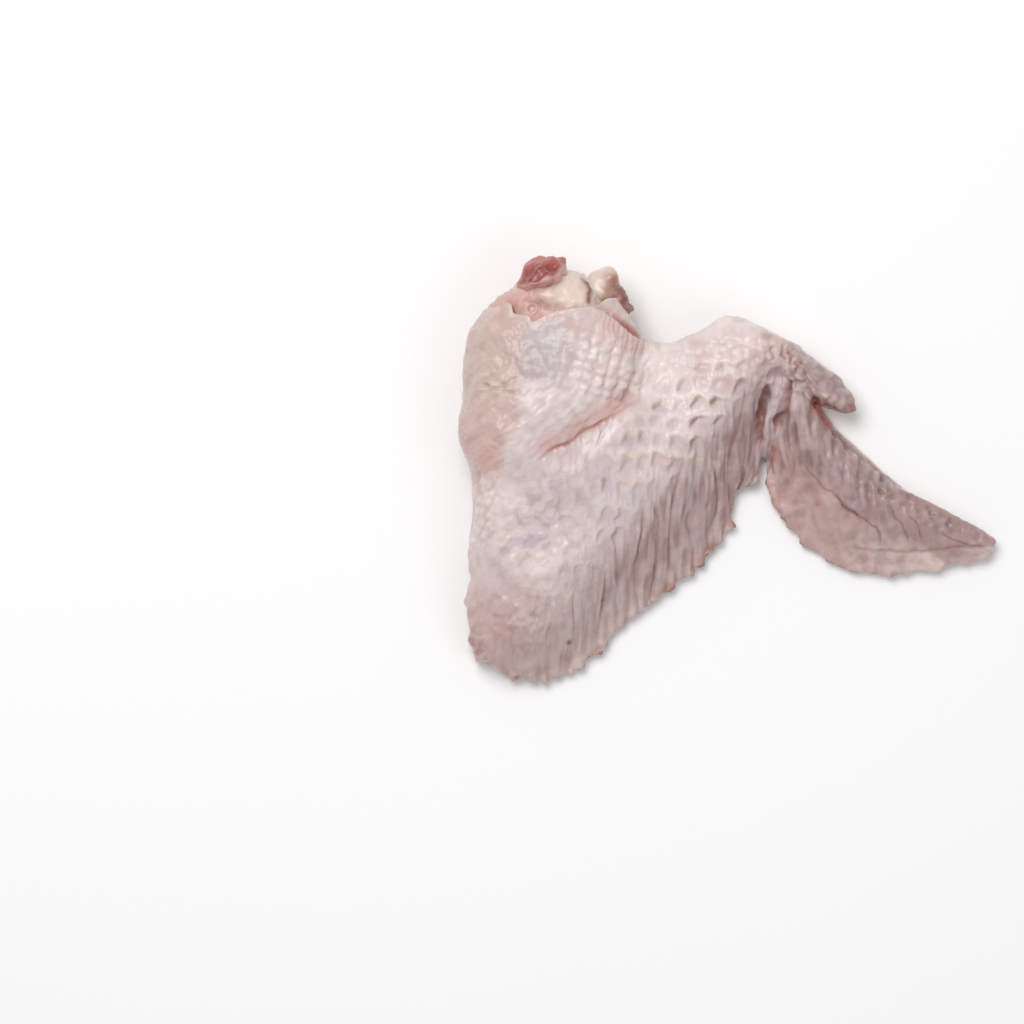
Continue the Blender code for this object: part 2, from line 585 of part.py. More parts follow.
def make_meat(collection):
    """The meat of the upper wing, from its lumpy cut end to the elbow."""
    under_skin = [inset(station, SKIN_THICKNESS) for station in UPPER_WING[1:6]]
    stations = MEAT_CUT_END + under_skin + [MEAT_ELBOW_END]
    body = join_and_remesh([limb_object("meat", collection, stations, PLUMP, PLUMP)], "meat", MEAT_VOXEL, 4)
    points = read_points(body)
    normals = read_normals(body)
    cut_end = smooth_step(33.0, 39.0, points[:, 1])
    points += normals * (cut_end * 0.8 * wave_noise(points, 8.0, 21))[:, None]
    write_points(body, points)
    reduce_to(body, MEAT_TRIANGLES)
    return body


def make_red_muscle(collection):
    """The cut red muscle, a stump on the meat's end that runs on into the meat."""
    stump = limb_object("red_muscle", collection, RED_MUSCLE, ROUND, ROUND)
    body = join_and_remesh([stump], "red_muscle", RED_VOXEL, 3)
    reduce_to(body, RED_TRIANGLES)
    return body


def make_humerus(collection):
    """The bone of the upper wing, with its knobbly head at the shoulder."""
    line = catmull_rom(BONE_LINE, 6)
    curve = bpy.data.curves.new("humerus_line", "CURVE")
    curve.dimensions = "3D"
    curve.bevel_depth = BONE_RADIUS * MM
    curve.bevel_resolution = 4
    curve.use_fill_caps = True
    spline = curve.splines.new("POLY")
    spline.points.add(len(line) - 1)
    for point, place in zip(spline.points, line):
        point.co = (*(place * MM), 1.0)
    guide = bpy.data.objects.new("humerus_line", curve)
    collection.objects.link(guide)
    graph = bpy.context.evaluated_depsgraph_get()
    mesh = bpy.data.meshes.new_from_object(guide.evaluated_get(graph))
    work = bmesh.new()
    work.from_mesh(mesh)
    bmesh.ops.remove_doubles(work, verts=work.verts, dist=0.01 * MM)
    bmesh.ops.recalc_face_normals(work, faces=work.faces)
    work.to_mesh(mesh)
    work.free()
    shaft = bpy.data.objects.new("humerus", mesh)
    collection.objects.link(shaft)
    bpy.data.objects.remove(guide, do_unlink=True)
    knobs = [ball_object(f"knob_{number}", collection, centre, radius)
             for number, (centre, radius) in enumerate(BONE_KNOBS)]
    body = join_and_remesh([shaft, *knobs], "humerus", BONE_VOXEL, 8)
    points = read_points(body)
    head = smooth_step(33.0, 37.0, points[:, 1])
    lumps = head * (0.4 + 0.5 * wave_noise(points, 6.0, 31))
    write_points(body, points + read_normals(body) * lumps[:, None])
    reduce_to(body, BONE_TRIANGLES)
    return body


def border_cutter(collection):
    """The space past the skin's end at the shoulder cut, as an upright prism."""
    line = catmull_rom(SKIN_BORDER, 4)
    outline = [*line, np.array([line[-1][0], 70.0]), np.array([line[0][0], 70.0])]
    count = len(outline)
    verts = [(p[0], p[1], -6.0) for p in outline] + [(p[0], p[1], 45.0) for p in outline]
    faces = [tuple(reversed(range(count))), tuple(range(count, 2 * count))]
    for index in range(count):
        beside = (index + 1) % count
        faces.append((index, beside, count + beside, count + index))
    made = mesh_object("border_cutter", verts, faces, collection)
    made.hide_render = True
    made.display_type = "WIRE"
    return made


def give_material(target):
    colour, roughness = COLOURS[target.name]
    finish = bpy.data.materials.new(target.name)
    finish.use_nodes = True
    shader = finish.node_tree.nodes["Principled BSDF"]
    shader.inputs["Base Color"].default_value = (*colour, 1.0)
    shader.inputs["Roughness"].default_value = roughness
    shader.inputs["Metallic"].default_value = 0.0
    target.data.materials.clear()
    target.data.materials.append(finish)


def centre_and_scale(pieces):
    """Stands the wing over the origin by its box, at its real length."""
    low = np.min([read_points(piece).min(axis=0) for piece in pieces], axis=0)
    high = np.max([read_points(piece).max(axis=0) for piece in pieces], axis=0)
    scale = WING_LENGTH / (high[0] - low[0])
    middle = np.array([(low[0] + high[0]) / 2.0, (low[1] + high[1]) / 2.0, 0.0])
    for piece in pieces:
        write_points(piece, (read_points(piece) - middle) * scale)


def main():
    clear_scene()
    wing = new_collection("raw_chicken_wing")
    cutters = new_collection("cutters")

    skin = make_skin_form(wing)
    meat = make_meat(wing)
    red_muscle = make_red_muscle(wing)
    humerus = make_humerus(wing)

    red_space = grown_copy(red_muscle, "red_space", cutters, PIECE_GAP)
    bone_space = grown_copy(humerus, "bone_space", cutters, PIECE_GAP)
    meat_space = grown_copy(meat, "meat_space", cutters, PIECE_GAP)

    cut(skin, border_cutter(cutters))
    for space in (meat_space, red_space, bone_space):
        cut(skin, space)
    for space in (red_space, bone_space):
        cut(meat, space)
    cut(red_muscle, bone_space)

    pieces = [skin, meat, red_muscle, humerus]
    for piece in pieces:
        keep_largest_body(piece)
        clean_up(piece)
    centre_and_scale(pieces)
    for piece in pieces:
        give_material(piece)
    for leftover in list(cutters.objects):
        bpy.data.objects.remove(leftover, do_unlink=True)


main()
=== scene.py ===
"""The looks of a raw chicken wing: its skin, the meat, cut muscle and bone at the shoulder, and the studio.

The forms are lofted in plan millimetres, as x to the right, y up the page and z above the surface, and are
then set into the frame's own box. Every finish is painted by named masks on the mesh and by node textures,
and some of the masks paint shade and highlights into the colour.
"""

import math
from collections import namedtuple

import bmesh
import bpy
import numpy as np
from bpy.props import FloatProperty, FloatVectorProperty, PointerProperty
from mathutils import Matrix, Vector
from mathutils.kdtree import KDTree


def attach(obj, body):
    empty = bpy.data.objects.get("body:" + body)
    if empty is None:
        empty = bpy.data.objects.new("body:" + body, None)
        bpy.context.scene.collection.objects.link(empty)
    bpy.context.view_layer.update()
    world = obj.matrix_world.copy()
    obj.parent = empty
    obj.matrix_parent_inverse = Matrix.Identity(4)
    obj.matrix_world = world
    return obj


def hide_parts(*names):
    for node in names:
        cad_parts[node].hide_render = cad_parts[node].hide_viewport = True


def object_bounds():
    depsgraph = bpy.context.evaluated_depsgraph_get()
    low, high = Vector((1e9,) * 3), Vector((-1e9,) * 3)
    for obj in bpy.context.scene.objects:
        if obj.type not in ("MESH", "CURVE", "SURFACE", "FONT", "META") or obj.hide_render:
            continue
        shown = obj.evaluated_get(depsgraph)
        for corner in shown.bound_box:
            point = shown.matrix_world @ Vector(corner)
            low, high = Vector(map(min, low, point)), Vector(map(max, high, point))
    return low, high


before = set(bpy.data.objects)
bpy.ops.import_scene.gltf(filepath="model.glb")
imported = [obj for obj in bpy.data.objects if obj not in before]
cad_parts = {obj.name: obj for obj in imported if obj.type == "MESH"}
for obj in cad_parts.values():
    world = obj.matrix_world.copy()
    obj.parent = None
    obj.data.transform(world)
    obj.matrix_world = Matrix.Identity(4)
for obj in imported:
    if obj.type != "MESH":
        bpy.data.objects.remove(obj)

bl_info = {
    "name": "Raw Chicken Wing",
    "version": (1, 0, 0),
    "blender": (4, 5, 0),
    "location": "View3D > Sidebar > Wing",
    "description": "Makes a raw chicken wing and a plain studio for it",
    "category": "Add Mesh",
}

MM = 0.001
CAD_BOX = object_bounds()
BODY = "root"

# Counts of the lofts, lengths in millimetres, and shares of other values
RING_POINTS = 72
STEPS_BETWEEN_STATIONS = 12
UNDER_SKIN = 2.2
MEAT_LIFT = 0.65
PIECE_GAP = 0.15
LOFT_TEETH = 0.48
TOOTH_REACH = 2.4
TOOTH_SCALE = 1.8
FOLD_DEPTH = 1.5
FOOT_HEIGHT = 23.8
FOOT_REACH = 6.5
FOOT_SHARE = 0.85
KEPT_OF_SKIN = 0.6
CUTTER_BOTTOM = -6.0
CUTTER_TOP = 45.0
CUTTER_END = 70.0
FLOOR_GAP = 0.3

# Places on the skin, in plan
FOLD_LINE = [(-20.5, 17.0), (-28.0, 12.5), (-36.0, 7.5), (-47.0, 1.5)]
UPPER_WING_EDGE = [(-13.0, 40.0), (-18.0, 24.0), (-20.5, 17.0), (-28.0, 12.5), (-36.0, 7.5), (-47.0, 1.5),
                   (-56.0, -6.0), (-68.0, -12.0)]
CUPS_END = [(-44.0, -44.0), (-36.0, -30.0), (-28.0, -19.5), (-18.0, -7.0), (-9.0, 2.5), (1.0, 15.0),
            (8.0, 26.0)]
FLAT_LEADING = [(-56.0, -46.0), (-47.0, -30.0), (-40.0, -16.0), (-33.0, 0.0), (-22.0, 13.0), (-12.0, 24.0),
                (-2.0, 33.0)]
WRIST_LINE = [(15.5, 40.0), (12.8, 20.0), (11.6, 10.0), (9.9, 2.0), (9.0, -8.0)]
WRIST_FOLDS = [[(9.2, 20.6), (8.3, 16.4), (7.3, 10.0), (7.0, 5.0)],
               [(13.8, 22.0), (13.8, 19.0), (13.4, 16.6), (12.1, 13.4), (10.9, 8.8)]]
WRIST_CREASES = [
    [(17.6, 23.6), (18.4, 20.0), (19.9, 16.7), (21.4, 14.0)],
    [(14.0, 28.6), (14.8, 24.9), (16.6, 24.3)], [(11.8, 29.4), (13.4, 25.2)], [(10.0, 29.0), (9.9, 25.0)],
    [(14.4, 20.2), (17.9, 20.6)], [(15.2, 23.0), (17.6, 25.6)],
]
RED_FLESH = [(19.2, 17.0), (20.6, 14.8), (22.2, 12.4), (24.6, 9.4)]
FAT_PAD_EDGE = [(-48.0, 34.0), (-47.0, 26.0), (-50.0, 18.5), (-48.8, 13.0), (-53.0, 6.0), (-54.5, 1.0),
                (-60.0, -3.0)]
HAND_RIB_END = [(11.0, -2.0), (18.0, 0.5), (24.0, -4.0), (33.0, -13.5), (46.0, -18.0), (58.0, -20.0)]
HAND_LIP = [(27.0, -18.0), (34.5, -19.4), (44.0, -19.4), (54.0, -18.6), (61.0, -18.4)]
HAND_CREST = [(19.7, 14.8), (24.8, 8.0), (32.0, 1.6), (40.3, -3.5)]
VEINS = [
    [(17.6, 1.6), (21.0, -3.2), (24.8, -5.9), (27.3, -9.2), (30.3, -11.0), (31.2, -13.4)],
    [(24.8, -5.9), (28.0, -9.2), (32.4, -11.9), (35.2, -14.7), (36.0, -18.3)],
    [(37.5, -8.8), (40.7, -13.1), (42.3, -16.2), (42.7, -18.3)],
    [(42.3, -10.7), (44.3, -13.1), (45.5, -16.2)],
    [(49.4, -14.3), (54.2, -17.1), (61.0, -18.3)],
]
DIMPLE_LINE = [(34.0, -3.5), (42.0, -8.0), (52.0, -13.0)]
WRIST_BLUSH = [(6.5, 31.6), (10.5, 30.8), (15.0, 29.0)]
LOBE_LINE = [(11.4, 21.5), (10.8, 15.6), (9.0, 10.0), (8.6, 5.0)]
LIP_RIDGES = [[(33.1, -19.0), (34.3, -23.5)], [(38.3, -20.2), (40.7, -24.2)]]

Station = namedtuple("Station", "lead ridge trail top bottom edge")
Flank = namedtuple("Flank", "over_power over_root under_power under_root thickness")

ROUND = Flank(2.0, 0.5, 2.0, 0.5, 0.0)
PLUMP = Flank(2.5, 0.5, 2.0, 0.5, 0.0)
FLAP = Flank(1.7, 1.5, 2.2, 0.8, 1.5)
THIN = Flank(1.5, 1.3, 2.2, 0.8, 1.1)
SHEET = Flank(2.0, 0.8, 2.5, 0.5, 1.6)

# Each station: leading edge, ridge and trailing edge in plan, then the heights of the ridge,
# of the underside and of the two edges.
UPPER_WING = [
    Station((-54.5, 41.5), (-39.5, 43.5), (-26.5, 41.0), 20.5, 0.5, (10.0, 10.0)),
    Station((-59.6, 35.5), (-39.5, 36.5), (-22.5, 34.0), 23.0, -0.2, (10.5, 12.5)),
    Station((-62.2, 28.0), (-40.0, 28.5), (-20.5, 28.0), 25.5, -0.3, (11.0, 13.5)),
    Station((-62.8, 16.5), (-42.5, 16.5), (-24.5, 18.0), 26.3, -0.4, (11.0, 14.5)),
    Station((-63.4, 7.0), (-46.5, 6.0), (-30.5, 7.0), 25.0, -0.4, (11.0, 14.0)),
    Station((-60.6, -1.5), (-48.5, -6.0), (-35.0, -4.5), 22.5, -0.4, (10.0, 13.5)),
    Station((-60.8, -11.5), (-51.5, -17.5), (-39.5, -14.0), 20.0, -0.3, (9.0, 11.0)),
    Station((-60.8, -21.0), (-52.5, -28.0), (-43.0, -23.5), 16.0, 0.2, (8.0, 9.0)),
]
FLAT = [
    Station((-60.4, -43.0), (-56.3, -45.6), (-52.0, -49.2), 8.5, 0.6, (4.0, 2.6)),
    Station((-62.0, -35.5), (-53.0, -40.0), (-43.5, -49.4), 14.5, -0.3, (6.5, 2.4)),
    Station((-61.6, -24.0), (-47.5, -32.0), (-33.4, -45.7), 18.0, -0.4, (8.5, 2.2)),
    Station((-59.8, -14.0), (-41.5, -23.5), (-21.4, -34.0), 19.8, -0.6, (9.0, 2.2)),
    Station((-52.5, -2.0), (-33.0, -13.5), (-9.0, -24.8), 20.0, -0.6, (12.0, 2.2)),
    Station((-39.5, 7.5), (-22.0, -2.0), (-1.2, -16.4), 19.0, -0.4, (13.0, 2.2)),
    Station((-25.5, 16.5), (-11.5, 9.5), (3.0, -6.6), 18.5, -0.3, (12.0, 2.4)),
    Station((-17.5, 22.5), (-6.0, 15.0), (7.0, -4.2), 18.0, -0.2, (10.5, 2.6)),
    Station((-9.5, 29.0), (-1.0, 21.5), (7.6, 1.5), 17.5, -0.2, (9.0, 3.0)),
    Station((2.5, 34.9), (7.0, 28.0), (12.0, 12.0), 16.8, 0.0, (8.5, 4.5)),
    Station((10.5, 32.2), (12.6, 26.5), (16.0, 16.0), 15.2, 0.2, (8.0, 5.0)),
    Station((16.8, 29.0), (17.4, 24.5), (18.4, 17.0), 13.0, 0.4, (8.0, 5.0)),
]
ELBOW_FILL = [
    Station((-42.0, 11.0), (-37.0, 5.0), (-31.0, -1.0), 15.5, 2.0, (10.0, 10.0)),
    Station((-51.0, 3.0), (-44.0, -3.5), (-35.0, -10.5), 20.4, 1.0, (11.0, 12.0)),
    Station((-55.0, -8.0), (-48.0, -15.0), (-39.0, -22.0), 20.6, 1.0, (10.0, 11.0)),
    Station((-57.5, -21.0), (-52.0, -27.0), (-45.0, -33.0), 18.4, 1.0, (9.0, 9.0)),
]
WEB = [
    Station((-27.5, 34.0), (-28.5, 26.0), (-29.5, 13.0), 20.5, 2.0, (13.0, 10.0)),
    Station((-22.8, 31.2), (-23.5, 24.0), (-24.5, 15.0), 17.8, 2.0, (11.5, 9.0)),
    Station((-18.5, 30.2), (-19.0, 24.0), (-19.5, 16.0), 15.6, 2.2, (10.0, 9.0)),
    Station((-12.7, 30.4), (-13.0, 24.5), (-14.0, 17.0), 14.2, 2.2, (9.0, 9.0)),
    Station((-6.3, 33.4), (-7.0, 27.5), (-7.5, 20.0), 14.6, 2.2, (9.0, 8.0)),
    Station((-1.0, 35.9), (-1.0, 30.0), (-1.0, 22.0), 15.4, 2.0, (9.0, 8.0)),
    Station((4.0, 35.3), (4.5, 31.0), (5.0, 24.0), 15.8, 2.0, (9.0, 8.0)),
]
HAND = [
    Station((16.0, 28.0), (13.5, 23.5), (9.5, 14.5), 13.8, 0.2, (7.5, 4.5)),
    Station((20.0, 15.5), (17.0, 12.5), (9.2, 4.5), 12.8, -0.3, (7.0, 2.4)),
    Station((23.8, 8.8), (20.3, 5.0), (9.2, -4.2), 11.5, -0.4, (6.5, 2.0)),
    Station((28.8, 3.2), (25.0, -0.7), (12.9, -11.3), 10.2, -0.4, (6.0, 1.9)),
    Station((34.2, -1.0), (30.2, -5.5), (18.1, -17.6), 9.2, -0.4, (5.2, 1.9)),
    Station((42.2, -5.1), (37.6, -10.0), (25.6, -22.8), 8.2, -0.3, (4.6, 1.9)),
    Station((49.2, -8.7), (44.8, -12.8), (35.0, -25.0), 7.2, -0.2, (4.0, 2.0)),
    Station((55.5, -11.8), (52.0, -15.4), (45.0, -24.4), 6.2, -0.1, (3.5, 2.2)),
    Station((60.6, -14.0), (58.2, -17.2), (54.0, -22.4), 5.3, 0.1, (3.0, 2.4)),
    Station((63.8, -16.4), (62.8, -18.4), (61.6, -21.8), 4.4, 0.6, (2.6, 2.4)),
]
UNDER_LAYER = [
    Station((19.0, 21.5), (18.0, 19.5), (16.5, 16.5), 7.0, 0.6, (3.6, 3.6)),
    Station((24.0, 12.0), (22.0, 9.5), (20.0, 7.0), 5.6, 0.3, (3.0, 3.0)),
    Station((29.0, 6.4), (27.0, 3.5), (25.0, 1.0), 5.2, 0.3, (2.8, 2.8)),
    Station((35.0, 1.0), (33.2, -1.5), (31.5, -4.0), 4.8, 0.3, (2.6, 2.6)),
    Station((41.6, -4.2), (40.2, -6.0), (39.0, -8.0), 4.4, 0.4, (2.4, 2.4)),
]
THUMB = [
    Station((12.5, 31.0), (13.0, 24.5), (13.8, 18.5), 15.0, 3.0, (9.0, 8.0)),
    Station((18.6, 27.0), (19.0, 22.0), (19.6, 16.8), 13.4, 3.6, (8.6, 7.8)),
    Station((23.4, 22.6), (23.1, 18.6), (22.6, 14.4), 11.8, 4.4, (8.2, 7.6)),
    Station((26.8, 19.2), (26.2, 16.6), (25.7, 13.8), 10.2, 4.8, (7.6, 7.2)),
    Station((29.4, 16.2), (28.8, 14.8), (28.6, 13.2), 8.4, 5.2, (7.0, 6.8)),
]
WRIST_LOBE = [
    Station((14.0, 21.6), (11.2, 20.8), (8.6, 20.0), 12.3, 3.0, (8.0, 8.0)),
    Station((13.5, 16.8), (10.7, 15.8), (7.9, 14.8), 10.3, 2.0, (6.4, 6.4)),
    Station((12.2, 11.2), (9.4, 10.0), (6.8, 9.0), 7.9, 1.4, (4.8, 4.8)),
    Station((11.0, 6.2), (9.0, 5.6), (7.0, 5.0), 5.2, 1.2, (3.4, 3.4)),
    Station((9.9, 3.2), (9.0, 3.0), (8.0, 2.8), 3.8, 1.4, (2.6, 2.6)),
]
CUT_EDGE_ROLL = [
    Station((-31.5, 41.0), (-31.0, 39.5), (-30.5, 38.0), 17.5, 9.0, (14.0, 14.0)),
    Station((-28.0, 39.8), (-28.5, 38.0), (-29.0, 36.0), 17.0, 8.0, (13.0, 13.0)),
    Station((-24.6, 36.0), (-25.6, 34.5), (-26.6, 33.0), 15.5, 7.0, (11.5, 11.5)),
    Station((-21.6, 32.4), (-22.6, 31.4), (-23.6, 30.0), 13.5, 6.0, (10.0, 10.0)),
]
MEAT_CUT_END = [
    Station((-46.0, 47.0), (-40.0, 47.0), (-34.3, 46.6), 13.0, 5.0, (9.0, 9.0)),
    Station((-49.6, 44.0), (-40.0, 44.8), (-31.8, 43.6), 18.5, 2.2, (9.5, 9.5)),
    Station((-54.8, 40.0), (-40.0, 40.5), (-29.0, 40.0), 21.5, 1.6, (10.0, 10.0)),
]
MEAT_ELBOW_END = Station((-54.5, -8.0), (-49.5, -11.0), (-43.5, -9.5), 14.5, 4.0, (9.5, 9.0))
RED_MUSCLE = [
    Station((-46.4, 49.6), (-42.4, 50.0), (-38.4, 49.6), 16.5, 11.0, (13.5, 13.5)),
    Station((-48.8, 46.8), (-43.4, 47.2), (-38.2, 46.8), 21.0, 9.0, (14.5, 14.5)),
    Station((-49.8, 43.0), (-44.6, 43.6), (-39.0, 43.8), 23.0, 8.6, (15.0, 15.0)),
    Station((-48.6, 39.0), (-44.6, 39.5), (-41.0, 39.5), 19.0, 9.0, (14.0, 14.0)),
    Station((-47.4, 31.0), (-44.6, 31.0), (-42.0, 31.0), 17.5, 10.0, (14.0, 14.0)),
    Station((-46.4, 22.0), (-44.6, 22.0), (-43.0, 22.0), 16.0, 12.0, (14.0, 14.0)),
]
BONE_LINE = [
    (-29.6, 42.4, 11.5), (-31.0, 37.5, 11.5), (-33.5, 29.0, 11.5), (-38.5, 16.0, 11.5), (-44.0, 5.0, 11.0),
    (-48.5, -5.0, 10.0),
]
BONE_RADIUS = 3.3
BONE_KNOBS = [((-29.9, 43.0, 12.5), 4.0), ((-27.4, 38.8, 10.0), 4.0), ((-31.2, 41.0, 8.5), 3.6)]

# Where the skin ends at the shoulder cut, in plan, from the leading to the trailing side
SKIN_BORDER = [
    (-70.0, 37.6), (-56.6, 37.8), (-51.8, 38.8), (-50.8, 36.4), (-47.6, 35.8), (-46.2, 34.4),
    (-42.2, 36.4), (-37.2, 37.4), (-31.6, 38.2), (-29.0, 39.9), (-25.0, 40.6), (-10.0, 44.0),
]

# The skin's layers of tint, from the lowest to the topmost. Some of them also carry painted shade in folds
# and recesses, and painted highlights.
SKIN_LAYERS = ("milky", "pad", "blue", "fat", "rose", "mauve", "beige", "lavender", "dusk", "rust", "crease",
               "flesh", "vein")

# Soft patches of tint on the skin, by layer: centre and reach in plan, turn in degrees, and weight
SKIN_PATCHES = {
    "milky": [
        ((3.0, 30.0), (13.0, 8.0), -10.0, 0.75), ((-16.0, 24.0), (13.0, 7.0), 0.0, 0.7),
        ((-8.0, 16.0), (16.0, 8.0), 30.0, 0.45), ((-50.0, -13.0), (9.0, 11.0), 30.0, 0.5),
        ((-36.0, -18.0), (16.0, 2.6), 30.0, 0.45), ((-46.0, 12.0), (10.0, 8.0), 50.0, 0.4),
        ((-28.0, -2.0), (14.0, 5.0), 42.0, 0.4), ((-24.0, 28.0), (8.0, 5.0), -30.0, 0.7),
        # Painted highlight: this thin milky streak, with a thin lavender streak under it
        ((-44.0, -13.0), (8.0, 0.8), 38.0, 0.8),
    ],
    "blue": [
        ((-43.0, 27.0), (5.5, 7.0), 0.0, 0.4), ((-45.0, 8.0), (10.0, 4.5), 50.0, 0.5),
        ((-42.0, -9.0), (12.0, 6.0), 30.0, 0.5), ((-24.0, -9.0), (12.0, 5.0), 35.0, 0.5),
    ],
    "pad": [
        ((-54.5, 24.0), (6.0, 11.0), 0.0, 0.9), ((-58.0, 8.0), (5.0, 10.0), 8.0, 0.9),
    ],
    "rose": [
        ((-26.0, 31.0), (7.0, 4.0), -35.0, 0.6), ((-38.0, 34.0), (7.0, 3.0), 0.0, 0.4),
        ((-54.0, -33.0), (9.0, 6.0), 0.0, 0.45), ((-55.0, -43.0), (9.0, 8.0), 0.0, 0.6),
        ((15.0, -4.0), (6.0, 10.0), 20.0, 0.6), ((27.0, -9.0), (8.0, 7.0), -45.0, 0.5),
        ((58.0, -15.5), (6.0, 2.0), -24.0, 0.6), ((47.0, -10.5), (9.0, 2.6), -28.0, 0.7),
    ],
    "mauve": [
        ((-14.0, -16.0), (22.0, 8.0), 38.0, 0.35), ((3.0, 4.0), (6.0, 14.0), -10.0, 0.45),
        ((22.0, 6.0), (8.0, 10.0), -40.0, 0.5), ((44.0, -12.0), (20.0, 6.0), -27.0, 0.8),
        ((22.0, 19.5), (7.0, 4.0), -40.0, 0.7), ((56.0, -14.5), (7.0, 2.5), -24.0, 0.6),
    ],
    "beige": [
        ((24.0, -15.0), (9.0, 6.0), -45.0, 0.75), ((-40.0, -40.0), (14.0, 7.0), 25.0, 0.4),
    ],
    "fat": [
        ((53.0, -20.6), (9.0, 1.8), 8.0, 0.9),
    ],
    "lavender": [
        ((-51.0, -18.5), (4.5, 1.0), 28.0, 1.0), ((-30.0, -2.0), (4.0, 4.0), 0.0, 0.5),
        # Painted highlight: this thin lavender streak, under the thin milky one
        ((-45.0, -14.0), (6.0, 0.9), 38.0, 0.8),
    ],
    "flesh": [
        ((9.4, 3.4), (1.0, 1.6), 0.0, 0.6),
    ],
    "crease": [
        ((-61.5, -41.0), (1.6, 6.0), 15.0, 0.45),
    ],
}

# Soft patches of relief on the skin: centre and reach in plan, and turn in degrees
CALM_SKIN = ((-45.0, -14.0), (15.0, 12.0), 30.0)
FAINT_CUPS = ((-12.0, 6.0), (27.0, 15.0), 42.0)
BELOW_FOLD = ((-34.0, 2.0), (17.0, 7.5), 40.0)
WRIST_TILES = ((-1.0, 25.5), (15.0, 8.0), -12.0)
LEADING_SCALES = ((-58.6, -9.0), (3.8, 14.0), -8.0)
ELBOW = ((-52.0, -39.0), (13.0, 12.0), 0.0)
PEARLED = ((-30.0, 23.5), (12.5, 9.0), -30.0)
DRAWN_PORES = ((-41.0, 10.0), (18.0, 11.0), 42.0)
PLEATED = ((-25.5, 31.5), (8.5, 3.6), -40.0)
THUMB_TIP = ((29.0, 14.4), (2.4, 2.0), -40.0)
CRUMPLED = ((11.0, 24.5), (6.5, 8.5), 20.0)
WRIST_PIT = ((10.6, 22.6), (2.6, 1.4), 10.0)
LOBE = ((10.6, 14.0), (3.4, 9.0), -8.0)

# Small dots of tint on the skin, by layer: centre in plan, radius and weight
SKIN_DOTS = {
    "vein": [
        ((-37.8, -40.7), 0.5, 2.2),
    ],
    "crease": [
        ((13.4, -3.0), 0.8, 0.7), ((15.5, -7.8), 0.8, 0.7), ((21.0, -8.0), 1.0, 0.7),
        ((18.6, -3.6), 1.2, 0.5), ((-53.4, -46.6), 1.0, 0.5), ((-57.6, -45.0), 0.9, 0.5),
        ((-38.2, -44.8), 1.2, 0.35), ((-13.0, -28.0), 1.6, 0.5),
    ],
}

# Lines and outlines in plan on the upper wing, the cut muscle and the trailing edges
VALLEY_LINE = [(-13.0, 22.0), (-20.0, 18.5), (-25.4, 16.2), (-29.0, 12.2)]
FOOT_LINE = [(-17.0, 19.0), (-24.5, 11.5), (-28.5, 7.0), (-33.5, 1.5), (-40.0, -5.0), (-47.0, -11.0)]
FOLD_BACK = [(-33.5, 38.4), (-29.1, 37.2), (-24.6, 33.8), (-20.0, 30.0)]
BLUE_PATCH = [(-48.0, 33.0), (-41.0, 33.5), (-37.5, 29.0), (-39.0, 24.0), (-44.0, 20.5), (-48.5, 21.5),
              (-49.5, 27.0)]
KNOTS = [(-58.5, 20.5), (-54.0, 19.2), (-50.0, 18.6)]
MUSCLE_FACE = [(-50.8, 43.2), (-48.4, 47.2), (-45.4, 48.5), (-41.0, 48.5), (-39.3, 47.2), (-40.6, 45.4),
               (-43.8, 44.0), (-48.0, 42.9)]
MUSCLE_STRIP = [(-51.0, 42.4), (-45.8, 43.2), (-42.2, 44.6), (-39.6, 46.4), (-38.0, 48.5)]
MUSCLE_LINES = [[(-49.6, 43.6), (-46.8, 45.4), (-43.4, 46.6), (-40.6, 46.8)], [(-47.6, 43.6), (-45.8, 45.4)],
                [(-46.4, 47.6), (-44.4, 46.0)]]
RING_CENTRE = (-46.8, 37.4)
FLAT_EDGE = [(-61.5, -28.0), (-61.8, -38.0), (-59.0, -45.0), (-52.0, -49.4), (-43.5, -49.4), (-33.4, -45.7),
             (-21.4, -34.0), (-9.0, -24.8), (-1.2, -16.4), (3.0, -6.6)]
HAND_EDGE = [(9.2, -4.2), (12.9, -11.3), (18.1, -17.6), (25.6, -22.8), (35.0, -25.0), (45.0, -24.4),
             (54.0, -22.4), (61.6, -21.8)]

# The torn points of the two trailing edges, each with its length in millimetres
FLAT_TEETH = [
    ((0.7, -13.4), 1.5), ((-1.6, -17.2), 1.0), ((-3.1, -19.7), 1.0), ((-6.3, -22.6), 1.4),
    ((-8.7, -24.4), 0.9), ((-13.6, -28.7), 1.2), ((-17.9, -32.0), 1.0), ((-20.2, -34.3), 1.0),
    ((-23.3, -37.8), 1.3), ((-24.9, -39.2), 0.8), ((-28.7, -42.3), 1.3), ((-30.6, -43.2), 0.9),
    ((-34.8, -47.0), 1.4), ((-37.6, -47.5), 0.9), ((-40.4, -49.6), 1.7), ((-43.5, -49.1), 1.0),
    ((-46.3, -48.9), 0.9), ((-50.5, -48.6), 1.1), ((-55.7, -48.2), 1.2), ((-59.0, -44.4), 1.0),
    ((-60.4, -40.2), 0.8), ((-61.3, -31.3), 0.7),
]
HAND_TEETH = [
    ((12.7, -8.5), 0.6), ((13.6, -11.0), 0.7), ((14.8, -12.8), 0.8), ((18.3, -16.7), 0.9),
    ((20.6, -17.2), 0.7), ((24.4, -20.7), 0.7), ((26.7, -21.6), 0.6), ((29.8, -23.3), 0.6),
    ((38.5, -24.9), 0.5), ((42.0, -24.6), 0.5), ((49.0, -23.3), 0.5), ((55.9, -21.6), 0.6),
    ((61.2, -20.7), 0.7),
]

